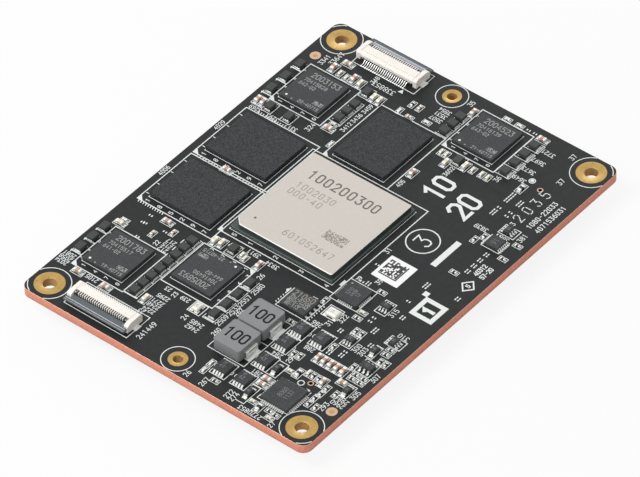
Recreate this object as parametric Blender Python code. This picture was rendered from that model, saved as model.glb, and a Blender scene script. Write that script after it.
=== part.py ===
"""System on module: a processor board with its packages, coils, connectors and plug.

Lengths are in metres. The tables of small parts count in steps of the layout grid, which divides the
board into columns and rows, so the layout follows the board's outline.
+X runs along the board's long side, +Y along its short side and +Z up from its parts side.
The origin is the middle of the board's outline, on the mating plane of the plug under it.
"""

import math

import bmesh
import bpy
from mathutils import Vector

# Circuit board
BOARD_LENGTH = 0.095
BOARD_WIDTH = 0.07
BOARD_THICKNESS = 0.002
BOARD_CORNER_RADIUS = 0.002
ROUND_SIDES = 20

# The layout grid's steps along the board's two sides, and how far a cutter runs past what it cuts
LAYOUT_COLUMNS = 950
LAYOUT_ROWS = 700
CUT_MARGIN = 0.001

# Screw holes in the corners and the two smaller holes for a cooler, with their plated lands
SCREW_INSET = 0.004
SCREW_HOLE_DIAMETER = 0.0027
SCREW_LAND_DIAMETER = 0.0061
COOLER_HOLE_DIAMETER = 0.002
COOLER_LAND_DIAMETER = 0.0039
COOLER_INSET = 0.0035
COOLER_ROW_LEFT = -13.5
COOLER_ROW_RIGHT = 36.5
LAND_THICKNESS = 0.00004
TOOLING_HOLE_DIAMETER = 0.0008

# Seating of the parts: leads stand on solder, grid packages on their solder balls
SOLDER_GAP = 0.00005
BALL_GAP = 0.00025
SINK = 0.0001

# Processor package
PROCESSOR_COLUMN = 16
PROCESSOR_ROW = 12
PROCESSOR_SIDE = 0.025
SUBSTRATE_THICKNESS = 0.00062
LID_GLUE_GAP = 0.00008
LID_INSET = 0.0004
LID_THICKNESS = 0.001
LID_KEY_CHAMFER = 0.0015
LID_EDGE_BEVEL = 0.00012

# Memory packages, two behind the processor and one to its right
MEMORY_LENGTH = 0.015
MEMORY_WIDTH = 0.0124
MEMORY_HEIGHT = 0.0008
MEMORY_GAP = 0.0029
MEMORY_PAIR_GAP = 0.00415
MEMORY_PAIR_SHIFT = -0.0008
MEMORY_SIDE_SHIFT = 0.0039
PACKAGE_EDGE_BEVEL = 0.00006

# Power manager packages
MANAGER_SIDE = 0.0098
MANAGER_HEIGHT = 0.0007

# Power inductors and the clips that carry them
COIL_LENGTH = 0.0067
COIL_WIDTH = 0.00655
COIL_HEIGHT = 0.0029
COIL_CORNER = 0.0007
COIL_EDGE_BEVEL = 0.00015
COIL_SPACING = 0.0004
COIL_STANDOFF = 0.0002
CLIP_WIDTH = 0.0033
CLIP_THICKNESS = 0.00015
CLIP_RISE = 0.0017
CLIP_REACH = 0.00035
CLIP_FOOT = 0.0012
CLIP_SLOT_LENGTH = 0.0017
CLIP_SLOT_HEIGHT = 0.0003

# Small moulded inductors
CHOKE_LENGTH = 0.002
CHOKE_WIDTH = 0.00165
CHOKE_HEIGHT = 0.00095
CHOKE_BEVEL = 0.0001
CHOKE_TERMINAL = 0.00035
CHOKE_TERMINAL_HEIGHT = 0.0003
CHOKE_TERMINAL_PROUD = 0.00004

# Power transistors
TRANSISTOR_LENGTH = 0.0029
TRANSISTOR_WIDTH = 0.003
TRANSISTOR_HEIGHT = 0.0008
TRANSISTOR_LEADS = 4
TRANSISTOR_LEAD_PITCH = 0.00065
TRANSISTOR_LEAD_WIDTH = 0.0004
TRANSISTOR_LEAD_REACH = 0.0005

# Flat leadless chips, whose pads show along their walls
CONTROLLER_SIDE = 0.0064
CONTROLLER_PADS = 12
INTERFACE_SIDE = 0.0052
INTERFACE_PADS = 8
FLASH_LENGTH = 0.005
FLASH_WIDTH = 0.006
FLAT_CHIP_HEIGHT = 0.0008
PAD_PITCH = 0.00045
PAD_WIDTH = 0.00024
PAD_HEIGHT = 0.00025
PAD_PROUD = 0.00005

# Crystals
CRYSTAL_LENGTH = 0.0021
CRYSTAL_WIDTH = 0.0027
CRYSTAL_BASE_HEIGHT = 0.00045
CRYSTAL_LID_HEIGHT = 0.0002
CRYSTAL_LID_INSET = 0.00018

# Ribbon cable sockets with flip latches. Reach is counted outwards from the solder tails
RIBBON_CONTACTS = 22
RIBBON_PITCH = 0.0005
SOCKET_LENGTH = 0.0151
SOCKET_HEIGHT = 0.002
SOCKET_SCREW_GAP = 0.0055
SOCKET_EDGE_GAP_LEFT = 0.00835
SOCKET_EDGE_GAP_RIGHT = 0.0075
SOCKET_BACK = 0.0013
SOCKET_ROOF_FRONT = 0.0039
SOCKET_TEETH_FRONT = 0.0045
SOCKET_FRONT = 0.0055
SOCKET_FLOOR = 0.0003
SOCKET_ARM = 0.0004
SOCKET_SLOT_BACK = 0.0022
SOCKET_SLOT_TOP = 0.0009
SOCKET_TOOTH_BOTTOM = 0.0011
SOCKET_NOSE_STEP = 0.0004
TOOTH_GAP = 0.00026
TAIL_WIDTH = 0.00025
TAIL_THICKNESS = 0.00013
TAIL_FOOT = 0.0007
TAIL_RISE = 0.0004
TAB_LENGTH = 0.0022
TAB_REACH = 0.00085
TAB_THICKNESS = 0.0002
TAB_START = 0.00235

# Flip latch, which turns on pins in the socket's arms
PIVOT_REACH = 0.0051
PIVOT_HEIGHT = 0.0012
PIVOT_PIN_RADIUS = 0.00017
PIVOT_PIN_LENGTH = 0.00025
PIVOT_CLEARANCE = 0.00008
LATCH_BARREL_RADIUS = 0.00035
LATCH_FRONT = 0.00165
LATCH_LIP_BOTTOM = -0.00035
LATCH_LIP_TOP = -0.0001
LATCH_CREASE_REACH = 0.0011
LATCH_CREASE_HEIGHT = 0.00025
LATCH_SIDE_GAP = 0.0001
LATCH_WING_START = 0.0007
LATCH_WING_ROOT = 0.0005
LATCH_LIP_SLOPE = 0.0001
LATCH_STEP = 0.00002
SOCKET_NOSE_RADIUS = 0.0005

# Board-to-board plug under the front edge
PLUG_LENGTH = 0.071
PLUG_WIDTH = 0.0053
PLUG_HEIGHT = 0.0033
PLUG_FRONT_INSET = 0.006
PLUG_WALL = 0.0006
PLUG_END = 0.0018
PLUG_FLOOR = 0.0009
PLUG_BLADE_THICKNESS = 0.00075
PLUG_BLADE_SPACING = 0.0017
PLUG_BLADE_RECESS = 0.0005
PLUG_KEY_LENGTH = 0.0012
PLUG_CHAMFER = 0.0008

# Capacitors under the processor
UNDER_CAPACITOR_COLUMNS = 6
UNDER_CAPACITOR_ROWS = 4
UNDER_CAPACITOR_PITCH = 0.003

# Chip capacitors and resistors: length, width and height
CHIP_SIZES = {
    "C": (0.0016, 0.0008, 0.0008),
    "c": (0.001, 0.0005, 0.0005),
    "R": (0.0016, 0.0008, 0.00045),
    "r": (0.001, 0.0005, 0.00035),
}
CHIP_CAP_SHARE = 0.25
CHIP_CAP_PROUD = 0.00004

BOARD_BOTTOM = PLUG_HEIGHT
BOARD_TOP = BOARD_BOTTOM + BOARD_THICKNESS
COLUMN_STEP = BOARD_LENGTH / LAYOUT_COLUMNS
ROW_STEP = BOARD_WIDTH / LAYOUT_ROWS
PROCESSOR_X = PROCESSOR_COLUMN * COLUMN_STEP
PROCESSOR_Y = PROCESSOR_ROW * ROW_STEP

# Corners of the board, as the signs of X and Y
REAR_LEFT = (-1, 1)
REAR_RIGHT = (1, 1)
FRONT_LEFT = (-1, -1)
FRONT_RIGHT = (1, -1)
CORNERS = (FRONT_LEFT, FRONT_RIGHT, REAR_LEFT, REAR_RIGHT)

# Chip parts by corner: size letter, grid steps in from the board's two edges, long axis
CHIPS = {
    REAR_LEFT: (
        ("C", 96, 62, "y"), ("C", 96, 131, "y"), ("C", 246, 38, "y"), ("c", 258, 40, "y"),
        ("c", 262, 106, "x"), ("c", 288, 136, "x"), ("C", 304, 108, "y"), ("C", 119, 211, "x"),
    ),
    REAR_RIGHT: (
        ("C", 275, 22, "x"), ("C", 275, 36, "x"), ("C", 113, 80, "x"), ("c", 118, 100, "x"),
        ("r", 120, 117, "x"), ("C", 114, 132, "x"), ("C", 118, 151, "x"), ("C", 88, 96, "y"),
        ("C", 255, 183, "y"), ("c", 239, 183, "y"), ("C", 133, 197, "x"), ("C", 133, 212, "x"),
        ("r", 130, 259, "x"), ("c", 133, 286, "y"), ("r", 101, 268, "x"), ("c", 101, 286, "x"),
        ("r", 124, 322, "y"),
    ),
    FRONT_RIGHT: (
        ("C", 253, 309, "x"), ("C", 48, 323, "x"), ("c", 172, 303, "x"), ("c", 172, 290, "x"),
        ("C", 191, 277, "x"), ("C", 176, 241, "x"), ("c", 175, 223, "x"), ("c", 174, 202, "x"),
        ("c", 174, 187, "x"), ("r", 21, 260, "y"), ("r", 21, 230, "y"), ("C", 26, 170, "y"),
        ("R", 158, 118, "x"), ("r", 417, 75, "y"), ("r", 332, 25, "y"), ("r", 287, 25, "y"),
        ("r", 323, 101, "x"), ("r", 305, 91, "x"),
    ),
    FRONT_LEFT: (
        ("r", 43, 279, "x"), ("r", 65, 280, "x"), ("r", 33, 244, "y"), ("C", 79, 169, "y"),
        ("C", 95, 169, "y"), ("c", 35, 154, "y"), ("R", 30, 135, "x"), ("r", 35, 113, "y"),
        ("c", 20, 102, "y"), ("r", 33, 98, "y"), ("c", 139, 150, "y"), ("R", 144, 134, "x"),
        ("c", 156, 119, "x"), ("r", 156, 108, "x"), ("r", 156, 95, "x"), ("C", 153, 83, "x"),
        ("C", 174, 52, "y"), ("r", 178, 175, "x"), ("r", 180, 161, "x"), ("r", 238, 127, "x"),
        ("r", 95, 69, "x"), ("r", 113, 69, "x"), ("r", 95, 52, "x"), ("r", 128, 67, "x"),
        ("r", 145, 67, "x"), ("r", 144, 44, "x"), ("r", 194, 47, "y"), ("r", 206, 47, "y"),
        ("r", 194, 28, "y"), ("r", 206, 28, "y"), ("r", 220, 64, "x"), ("r", 261, 33, "x"),
        ("r", 261, 20, "x"), ("r", 282, 37, "y"), ("r", 297, 37, "y"), ("r", 296, 121, "x"),
        ("r", 296, 107, "x"), ("r", 241, 232, "y"), ("r", 324, 219, "x"), ("r", 325, 141, "y"),
        ("r", 407, 148, "y"),
    ),
}

# A bank of equal capacitors beside the power stage
BANK_COUNT = 5
BANK_COLUMN = 198
BANK_ROW = 131
BANK_STEP = 15

# Chip parts round the processor, in grid steps from its middle
PROCESSOR_CHIPS = (
    ("C", -7, 234, "y"), ("C", -171, 125, "x"), ("C", -168, 110, "x"), ("c", -169, 59, "x"),
    ("c", -173, 49, "x"), ("C", -171, 16, "x"), ("r", 173, 123, "x"),
)

# Leaded parts: kind, corner, place
LEADED = (
    ("regulator", FRONT_LEFT, 233, 41),
    ("transistor", FRONT_LEFT, 270, 113),
    ("turned_transistor", FRONT_LEFT, 315, 44),
    ("turned_transistor", FRONT_RIGHT, 266, 63),
    ("driver", FRONT_RIGHT, 309, 62),
    ("diode", FRONT_LEFT, 162, 32),
    ("diode", FRONT_LEFT, 276, 58),
    ("diode", FRONT_LEFT, 47, 173),
    ("diode", FRONT_LEFT, 126, 172),
)

# Kinds of leaded part: long axis, leads on each side, body length, width and height, lead pitch and width
LEADED_KINDS = {
    "regulator": ("x", 3, 0.0016, 0.0029, 0.001, 0.00095, 0.0004),
    "transistor": ("x", 3, 0.0013, 0.0021, 0.0009, 0.00065, 0.0003),
    "turned_transistor": ("y", 3, 0.0021, 0.0013, 0.0009, 0.00065, 0.0003),
    "driver": ("y", 6, 0.003, 0.0032, 0.0008, 0.0005, 0.00025),
    "diode": ("x", 1, 0.0017, 0.00125, 0.0009, 0.001, 0.0009),
}
LEAD_REACH = 0.00055
LEAD_THICKNESS = 0.00013
SMALL_CRYSTAL_PLACE = (160.5, 304)
SMALL_CRYSTAL_LENGTH = 0.002
SMALL_CRYSTAL_WIDTH = 0.0016
SMALL_CRYSTAL_HEIGHT = 0.00065

# Rows of small inductors: corner, first place, count, pitch in grid steps, long axis
CHOKE_ROWS = (
    (REAR_LEFT, 148.5, 24, 3, 35, "x"),
    (REAR_LEFT, 123, 181.5, 8, 24, "y"),
    (REAR_LEFT, 166, 342, 3, 32.7, "x"),
    (REAR_LEFT, 270, 342, 1, 10, "x"),
    (REAR_RIGHT, 149, 24, 3, 43.5, "x"),
    (REAR_RIGHT, 277, 55, 1, 10, "x"),
    (REAR_RIGHT, 278, 103.5, 1, 10, "x"),
    (REAR_RIGHT, 172, 181, 3, 24, "y"),
    (REAR_RIGHT, 130, 178.5, 1, 10, "x"),
    (FRONT_RIGHT, 173, 259.5, 1, 10, "x"),
    (FRONT_RIGHT, 50.5, 170.5, 4, 30.2, "y"),
)
PROCESSOR_CHOKE = (-168, 81)

# A row of small inductors past the end of the memory at the processor's right
MEMORY_CHOKES = 3
MEMORY_CHOKE_GAP = 0.00235
MEMORY_CHOKE_PITCH = 0.00247
MEMORY_CHOKE_ROW = -28.5

MANAGER_PLACES = (
    (REAR_LEFT, 174, 97),
    (REAR_RIGHT, 194, 97),
    (FRONT_RIGHT, 90, 255),
    (REAR_LEFT, 242, 260),
)
TRANSISTOR_COIL_GAP = 0.0008
TRANSISTOR_PAIR_GAP = 0.0007
TRANSISTOR_ROWS = (251, 203, 155)
TRANSISTOR_COLUMNS = (130, 190, 238)
COIL_PLACE = (129, 270)
CONTROLLER_PLACE = (81, 116)
INTERFACE_SHIFT = -124
INTERFACE_GAP = 0.0027
INTERFACE_CAPACITOR = (-25, -42)
INTERFACE_TRANSISTOR = (13, -68)
FLASH_PLACE = (287, 250)
CRYSTAL_PLACE = (306, 184)
TOOLING_PLACES = ((FRONT_LEFT, 138, 100), (FRONT_RIGHT, 139, 87))


def inward(corner, x, y):
    """Place on the board at distances in from the two edges that meet in a corner."""
    return Vector((corner[0] * (BOARD_LENGTH / 2 - x), corner[1] * (BOARD_WIDTH / 2 - y)))


def placed(corner, x_steps, y_steps):
    """Place on the board at grid steps in from the two edges that meet in a corner."""
    return inward(corner, x_steps * COLUMN_STEP, y_steps * ROW_STEP)


def processor_place(x_steps, y_steps):
    """Place on the board at grid steps from the processor's middle."""
    return PROCESSOR_X + x_steps * COLUMN_STEP, PROCESSOR_Y + y_steps * ROW_STEP


def finish(name, colour, roughness, metallic=0.0):
    """Plain finish of one kind of part."""
    material = bpy.data.materials.new(name)
    material.use_nodes = True
    shader = material.node_tree.nodes["Principled BSDF"]
    shader.inputs["Base Color"].default_value = (*colour, 1.0)
    shader.inputs["Roughness"].default_value = roughness
    shader.inputs["Metallic"].default_value = metallic
    return material


def rectangle(length, width, x=0.0, y=0.0):
    """Corners of a rectangle about a centre."""
    signs = ((-1, -1), (1, -1), (1, 1), (-1, 1))
    return [(x + sx * length / 2, y + sy * width / 2) for sx, sy in signs]


def rounded_rectangle(length, width, radius, steps):
    """Rectangle whose corners are arcs of a few steps each."""
    outline = []
    for quarter, (sx, sy) in enumerate(((1, 1), (-1, 1), (-1, -1), (1, -1))):
        for step in range(steps + 1):
            turn = math.pi / 2 * (quarter + step / steps)
            outline.append((
                sx * (length / 2 - radius) + radius * math.cos(turn),
                sy * (width / 2 - radius) + radius * math.sin(turn),
            ))
    return outline


def circle(radius, x=0.0, y=0.0, sides=ROUND_SIDES):
    """Regular polygon that stands for a circle."""
    turns = [math.tau * (side + 0.5) / sides for side in range(sides)]
    return [(x + radius * math.cos(turn), y + radius * math.sin(turn)) for turn in turns]


def loft(bm, sections):
    """Closed solid through sections, each given as an outline and its height."""
    rings = [[bm.verts.new((x, y, height)) for x, y in outline] for outline, height in sections]
    for lower, upper in zip(rings, rings[1:]):
        for here in range(len(lower)):
            there = (here + 1) % len(lower)
            bm.faces.new((lower[here], lower[there], upper[there], upper[here]))
    bm.faces.new(rings[0][::-1])
    bm.faces.new(rings[-1])


def prism(bm, outline, low, high):
    """Solid of one outline between two heights."""
    loft(bm, ((outline, low), (outline, high)))


def bar(bm, profile, axis, start, end, x=0.0, y=0.0):
    """Solid with its profile, given as offsets and heights, drawn along X or Y."""
    ends = []
    for reach in (start, end):
        if axis == "y":
            ends.append([bm.verts.new((x + across, y + reach, height)) for across, height in profile])
        else:
            ends.append([bm.verts.new((x + reach, y + across, height)) for across, height in profile])
    first, last = ends
    for here in range(len(profile)):
        there = (here + 1) % len(profile)
        bm.faces.new((first[here], first[there], last[there], last[here]))
    bm.faces.new(first[::-1])
    bm.faces.new(last)


def new_object(name, bm, material=None, place=(0.0, 0.0, 0.0), turn=0.0):
    """Object made from a mesh, set at its place and turned about Z."""
    bmesh.ops.recalc_face_normals(bm, faces=bm.faces)
    mesh = bpy.data.meshes.new(name)
    bm.to_mesh(mesh)
    bm.free()
    if material:
        mesh.materials.append(material)
    return link_object(name, mesh, place, turn)


def link_object(name, mesh, place, turn=0.0):
    """Object that shows a mesh at a place, turned about Z."""
    item = bpy.data.objects.new(name, mesh)
    item.location = place
    item.rotation_euler.z = turn
    bpy.context.collection.objects.link(item)
    return item


def combine(target, tool, operation):
    """Join a tool to a part, or cut it out, and keep the tool itself out of sight."""
    tool.hide_render = True
    tool.display_type = "WIRE"
    modifier = target.modifiers.new(tool.name, "BOOLEAN")
    modifier.operation = operation
    modifier.solver = "EXACT"
    modifier.use_self = True
    modifier.object = tool


def chip_body(bm, kind, x, y, axis, level=0.0, side=1):
    """Chip part with end caps a little proud of its body, sunk into its solder."""
    length, width, height = CHIP_SIZES[kind]
    cap = length * CHIP_CAP_SHARE
    half = length / 2
    top = level + side * height
    body_top = top - side * CHIP_CAP_PROUD
    foot = level - side * SINK
    profile = (
        (-half, foot), (half, foot), (half, top), (half - cap, top), (half - cap, body_top),
        (cap - half, body_top), (cap - half, top), (-half, top),
    )
    bar(bm, profile, "x" if axis == "y" else "y", -width / 2, width / 2, x, y)


def lead_profile(edge, sign, height):
    """Bent lead that leaves a body wall at half its height and ends in a flat foot."""
    wall = edge - LEAD_REACH / 2
    knee = edge + LEAD_REACH * 0.4
    toe = edge + LEAD_REACH
    shoulder = height / 2
    points = (
        (wall, shoulder), (knee, shoulder), (knee, LEAD_THICKNESS), (toe, LEAD_THICKNESS), (toe, -SINK),
        (knee - LEAD_THICKNESS, -SINK), (knee - LEAD_THICKNESS, shoulder - LEAD_THICKNESS),
        (wall, shoulder - LEAD_THICKNESS),
    )
    return [(sign * across, rise) for across, rise in points]


def leaded_part(bodies, leads, kind, x, y):
    """Moulded part with bent leads along two of its walls."""
    axis, count, length, width, height, pitch, lead_width = LEADED_KINDS[kind]
    prism(bodies, rectangle(length, width, x, y), -SINK, height)
    along = length if axis == "x" else width
    draw_axis = "y" if axis == "x" else "x"
    for sign in (-1, 1):
        profile = lead_profile(along / 2, sign, height)
        for number in range(count):
            middle = (number - (count - 1) / 2) * pitch
            bar(leads, profile, draw_axis, middle - lead_width / 2, middle + lead_width / 2, x, y)


def make_board(material):
    """Bare board, its lands and holes, and the smallest parts, which are soldered to it."""
    bm = bmesh.new()
    outline = rounded_rectangle(BOARD_LENGTH, BOARD_WIDTH, BOARD_CORNER_RADIUS, 6)
    prism(bm, outline, -BOARD_THICKNESS, 0.0)
    board = new_object("circuit_board", bm, material, (0.0, 0.0, BOARD_TOP))

    bodies = bmesh.new()
    leads = bmesh.new()
    for corner, entries in CHIPS.items():
        for kind, x_steps, y_steps, axis in entries:
            chip_body(bodies, kind, *placed(corner, x_steps, y_steps), axis)
    for number in range(BANK_COUNT):
        chip_body(bodies, "C", *placed(FRONT_LEFT, BANK_COLUMN, BANK_ROW - number * BANK_STEP), "x")
    for kind, x_steps, y_steps, axis in PROCESSOR_CHIPS:
        chip_body(bodies, kind, *processor_place(x_steps, y_steps), axis)
    for column in range(UNDER_CAPACITOR_COLUMNS):
        for row in range(UNDER_CAPACITOR_ROWS):
            x = PROCESSOR_X + (column - (UNDER_CAPACITOR_COLUMNS - 1) / 2) * UNDER_CAPACITOR_PITCH
            y = PROCESSOR_Y + (row - (UNDER_CAPACITOR_ROWS - 1) / 2) * UNDER_CAPACITOR_PITCH
            chip_body(bodies, "c", x, y, "x", -BOARD_THICKNESS, -1)
    for kind, corner, x_steps, y_steps in LEADED:
        leaded_part(bodies, leads, kind, *placed(corner, x_steps, y_steps))
    x, y = interface_place()
    across, along = INTERFACE_CAPACITOR
    chip_body(bodies, "c", x + across * COLUMN_STEP, y + along * ROW_STEP, "y")
    across, along = INTERFACE_TRANSISTOR
    leaded_part(bodies, leads, "transistor", x + across * COLUMN_STEP, y + along * ROW_STEP)
    x, y = placed(REAR_LEFT, *SMALL_CRYSTAL_PLACE)
    outline = rectangle(SMALL_CRYSTAL_LENGTH, SMALL_CRYSTAL_WIDTH, x, y)
    prism(bodies, outline, -SINK, SMALL_CRYSTAL_HEIGHT)

    holes = bmesh.new()
    through = BOARD_THICKNESS + CUT_MARGIN
    for x, y, land, hole in hole_list():
        if land:
            prism(bodies, circle(land / 2, x, y), -SINK, LAND_THICKNESS)
            prism(bodies, circle(land / 2, x, y), -BOARD_THICKNESS - LAND_THICKNESS, SINK - BOARD_THICKNESS)
        prism(holes, circle(hole / 2, x, y), -through, CUT_MARGIN)

    place = (0.0, 0.0, BOARD_TOP)
    combine(board, new_object("board_part_shapes", bodies, place=place), "UNION")
    combine(board, new_object("board_lead_shapes", leads, place=place), "UNION")
    combine(board, new_object("board_hole_shapes", holes, place=place), "DIFFERENCE")
    return board


def hole_list():
    """Every hole of the board as its place, its land's diameter and its own."""
    holes = []
    for corner in CORNERS:
        x, y = inward(corner, SCREW_INSET, SCREW_INSET)
        holes.append((x, y, SCREW_LAND_DIAMETER, SCREW_HOLE_DIAMETER))
    for sign, row in ((-1, COOLER_ROW_LEFT), (1, COOLER_ROW_RIGHT)):
        x = sign * (BOARD_LENGTH / 2 - COOLER_INSET)
        holes.append((x, row * ROW_STEP, COOLER_LAND_DIAMETER, COOLER_HOLE_DIAMETER))
    for corner, x_steps, y_steps in TOOLING_PLACES:
        x, y = placed(corner, x_steps, y_steps)
        holes.append((x, y, 0.0, TOOLING_HOLE_DIAMETER))
    return holes


def key_outline(side, chamfer, nick):
    """Square with its pin-one corner cut off and the others just broken."""
    half = side / 2
    outline = []
    for sx, sy, first in ((-1, -1, "x"), (1, -1, "y"), (1, 1, "x"), (-1, 1, "y")):
        cut = chamfer if (sx, sy) == REAR_LEFT else nick
        pair = [(sx * half, sy * (half - cut)), (sx * (half - cut), sy * half)]
        outline += pair if first == "x" else pair[::-1]
    return outline


def make_processor(substrate_finish, lid_finish):
    """Laminated substrate on its solder balls, with a metal lid glued over its die."""
    bm = bmesh.new()
    prism(bm, rectangle(PROCESSOR_SIDE, PROCESSOR_SIDE), 0.0, SUBSTRATE_THICKNESS)
    place = (PROCESSOR_X, PROCESSOR_Y, BOARD_TOP + BALL_GAP)
    new_object("processor_substrate", bm, substrate_finish, place)

    bm = bmesh.new()
    side = PROCESSOR_SIDE - 2 * LID_INSET
    nick = LID_EDGE_BEVEL * 2
    full = key_outline(side, LID_KEY_CHAMFER, nick)
    top = key_outline(side - 2 * LID_EDGE_BEVEL, LID_KEY_CHAMFER, nick)
    loft(bm, ((full, 0.0), (full, LID_THICKNESS - LID_EDGE_BEVEL), (top, LID_THICKNESS)))
    lid_level = BOARD_TOP + BALL_GAP + SUBSTRATE_THICKNESS + LID_GLUE_GAP
    new_object("processor_lid", bm, lid_finish, (PROCESSOR_X, PROCESSOR_Y, lid_level))


def package_mesh(name, length, width, height, material):
    """Moulded grid package with its upper edges broken."""
    bm = bmesh.new()
    full = rectangle(length, width)
    top = rectangle(length - 2 * PACKAGE_EDGE_BEVEL, width - 2 * PACKAGE_EDGE_BEVEL)
    loft(bm, ((full, 0.0), (full, height - PACKAGE_EDGE_BEVEL), (top, height)))
    item = new_object(name, bm, material)
    return item


def memory_places():
    """Place and turn of each memory package, which all keep one distance to the processor."""
    reach = PROCESSOR_SIDE / 2 + MEMORY_GAP + MEMORY_LENGTH / 2
    middle = PROCESSOR_X + MEMORY_PAIR_SHIFT
    step = (MEMORY_PAIR_GAP + MEMORY_WIDTH) / 2
    return (
        (middle - step, PROCESSOR_Y + reach, math.pi / 2),
        (middle + step, PROCESSOR_Y + reach, math.pi / 2),
        (PROCESSOR_X + reach, PROCESSOR_Y + MEMORY_SIDE_SHIFT, 0.0),
    )


def make_packages(memory_finish, manager_finish):
    """Memory beside the processor and the power managers in their corners."""
    level = BOARD_TOP + BALL_GAP
    for number, (x, y, turn) in enumerate(memory_places(), 1):
        item = package_mesh(f"memory_{number}", MEMORY_LENGTH, MEMORY_WIDTH, MEMORY_HEIGHT, memory_finish)
        item.location = (x, y, level)
        item.rotation_euler.z = turn
    for number, (corner, x_steps, y_steps) in enumerate(MANAGER_PLACES, 1):
        x, y = placed(corner, x_steps, y_steps)
        name = f"power_manager_{number}"
        item = package_mesh(name, MANAGER_SIDE, MANAGER_SIDE, MANAGER_HEIGHT, manager_finish)
        item.location = (x, y, level)


def coil_place(number):
    """Place of a power inductor, the second one beside the first."""
    x, y = placed(FRONT_LEFT, *COIL_PLACE)
    return x + (number - 1) * (COIL_LENGTH + COIL_SPACING), y


def make_coil(number, material):
    """Power inductor: a pressed body held by two bent clips that are its terminals."""
    bm = bmesh.new()
    full = rounded_rectangle(COIL_LENGTH, COIL_WIDTH, COIL_CORNER, 4)
    bevel = COIL_EDGE_BEVEL
    top = rounded_rectangle(COIL_LENGTH - 2 * bevel, COIL_WIDTH - 2 * bevel, COIL_CORNER - bevel, 4)
    loft(bm, ((full, COIL_STANDOFF), (full, COIL_HEIGHT - bevel), (top, COIL_HEIGHT)))
    x, y = coil_place(number)
    place = (x, y, BOARD_TOP + SOLDER_GAP)
    coil = new_object(f"power_inductor_{number}", bm, material, place)

    clips = bmesh.new()
    slots = bmesh.new()
    wall = COIL_WIDTH / 2
    outer = wall + CLIP_REACH
    inner = outer - CLIP_THICKNESS
    for sign in (-1, 1):
        profile = (
            (wall - CLIP_THICKNESS, CLIP_RISE), (outer - CLIP_THICKNESS, CLIP_RISE),
            (outer, CLIP_RISE - CLIP_THICKNESS), (outer, 0.0), (wall - CLIP_FOOT, 0.0),
            (wall - CLIP_FOOT, COIL_STANDOFF + SINK), (wall - 2 * CLIP_THICKNESS, COIL_STANDOFF + SINK),
            (wall - 2 * CLIP_THICKNESS, CLIP_THICKNESS), (inner, CLIP_THICKNESS),
            (inner, CLIP_RISE - CLIP_THICKNESS), (wall - CLIP_THICKNESS, CLIP_RISE - CLIP_THICKNESS),
        )
        bar(clips, [(sign * across, rise) for across, rise in profile], "x", -CLIP_WIDTH / 2, CLIP_WIDTH / 2)
        slot_top = CLIP_RISE - 2 * CLIP_THICKNESS
        outline = rectangle(CLIP_SLOT_LENGTH, CLIP_REACH, y=sign * (wall + CLIP_REACH / 2 + SINK))
        prism(slots, outline, slot_top - CLIP_SLOT_HEIGHT, slot_top)
    clip_tool = new_object(f"coil_clips_{number}", clips, place=place)
    combine(coil, clip_tool, "UNION")
    combine(coil, new_object(f"coil_slots_{number}", slots, place=place), "DIFFERENCE")


def choke_places():
    """Place and long axis of every small inductor, row by row."""
    for corner, x_steps, y_steps, count, pitch, axis in CHOKE_ROWS:
        for number in range(count):
            yield (*placed(corner, x_steps + number * pitch, y_steps), axis)
    yield (*processor_place(*PROCESSOR_CHOKE), "x")
    start = memory_places()[2][0] + (MEMORY_LENGTH + CHOKE_WIDTH) / 2 + MEMORY_CHOKE_GAP
    for number in range(MEMORY_CHOKES):
        x = start + number * MEMORY_CHOKE_PITCH
        yield x, processor_place(0, MEMORY_CHOKE_ROW)[1], "y"


def make_chokes(material):
    """Small inductors, which share one mesh: a moulded block on two end terminals."""
    bm = bmesh.new()
    bevel = 2 * CHOKE_BEVEL
    full = rectangle(CHOKE_LENGTH, CHOKE_WIDTH)
    top = rectangle(CHOKE_LENGTH - bevel, CHOKE_WIDTH - bevel)
    loft(bm, ((full, CHOKE_BEVEL), (full, CHOKE_HEIGHT - CHOKE_BEVEL), (top, CHOKE_HEIGHT)))
    model = new_object("choke_body", bm)
    terminals = bmesh.new()
    for sign in (-1, 1):
        x = sign * (CHOKE_LENGTH / 2 + CHOKE_TERMINAL_PROUD - CHOKE_TERMINAL / 2)
        outline = rectangle(CHOKE_TERMINAL, CHOKE_WIDTH - bevel, x)
        prism(terminals, outline, 0.0, CHOKE_TERMINAL_HEIGHT)
    tool = new_object("choke_terminals", terminals)
    combine(model, tool, "UNION")
    graph = bpy.context.evaluated_depsgraph_get()
    mesh = bpy.data.meshes.new_from_object(model.evaluated_get(graph))
    bpy.data.objects.remove(model)
    bpy.data.objects.remove(tool)
    mesh.name = "choke"
    mesh.materials.clear()
    mesh.materials.append(material)
    for number, (x, y, axis) in enumerate(choke_places(), 1):
        turn = math.pi / 2 if axis == "y" else 0.0
        link_object(f"chip_inductor_{number:02d}", mesh, (x, y, BOARD_TOP + SOLDER_GAP), turn)


def transistor_places():
    """Two transistors left of the first coil, a row of three before the coils and one before that."""
    reach = TRANSISTOR_LENGTH / 2 + TRANSISTOR_LEAD_REACH
    beside_coil = coil_place(1)[0] - COIL_LENGTH / 2 - TRANSISTOR_COIL_GAP - reach
    for row in TRANSISTOR_ROWS[:2]:
        yield beside_coil, placed(FRONT_LEFT, 0, row).y
    for column in TRANSISTOR_COLUMNS[:2]:
        place = placed(FRONT_LEFT, column, TRANSISTOR_ROWS[1])
        yield place.x, place.y
    yield place.x + 2 * reach + TRANSISTOR_PAIR_GAP, place.y
    last = placed(FRONT_LEFT, TRANSISTOR_COLUMNS[2], TRANSISTOR_ROWS[2])
    yield last.x, last.y


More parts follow.
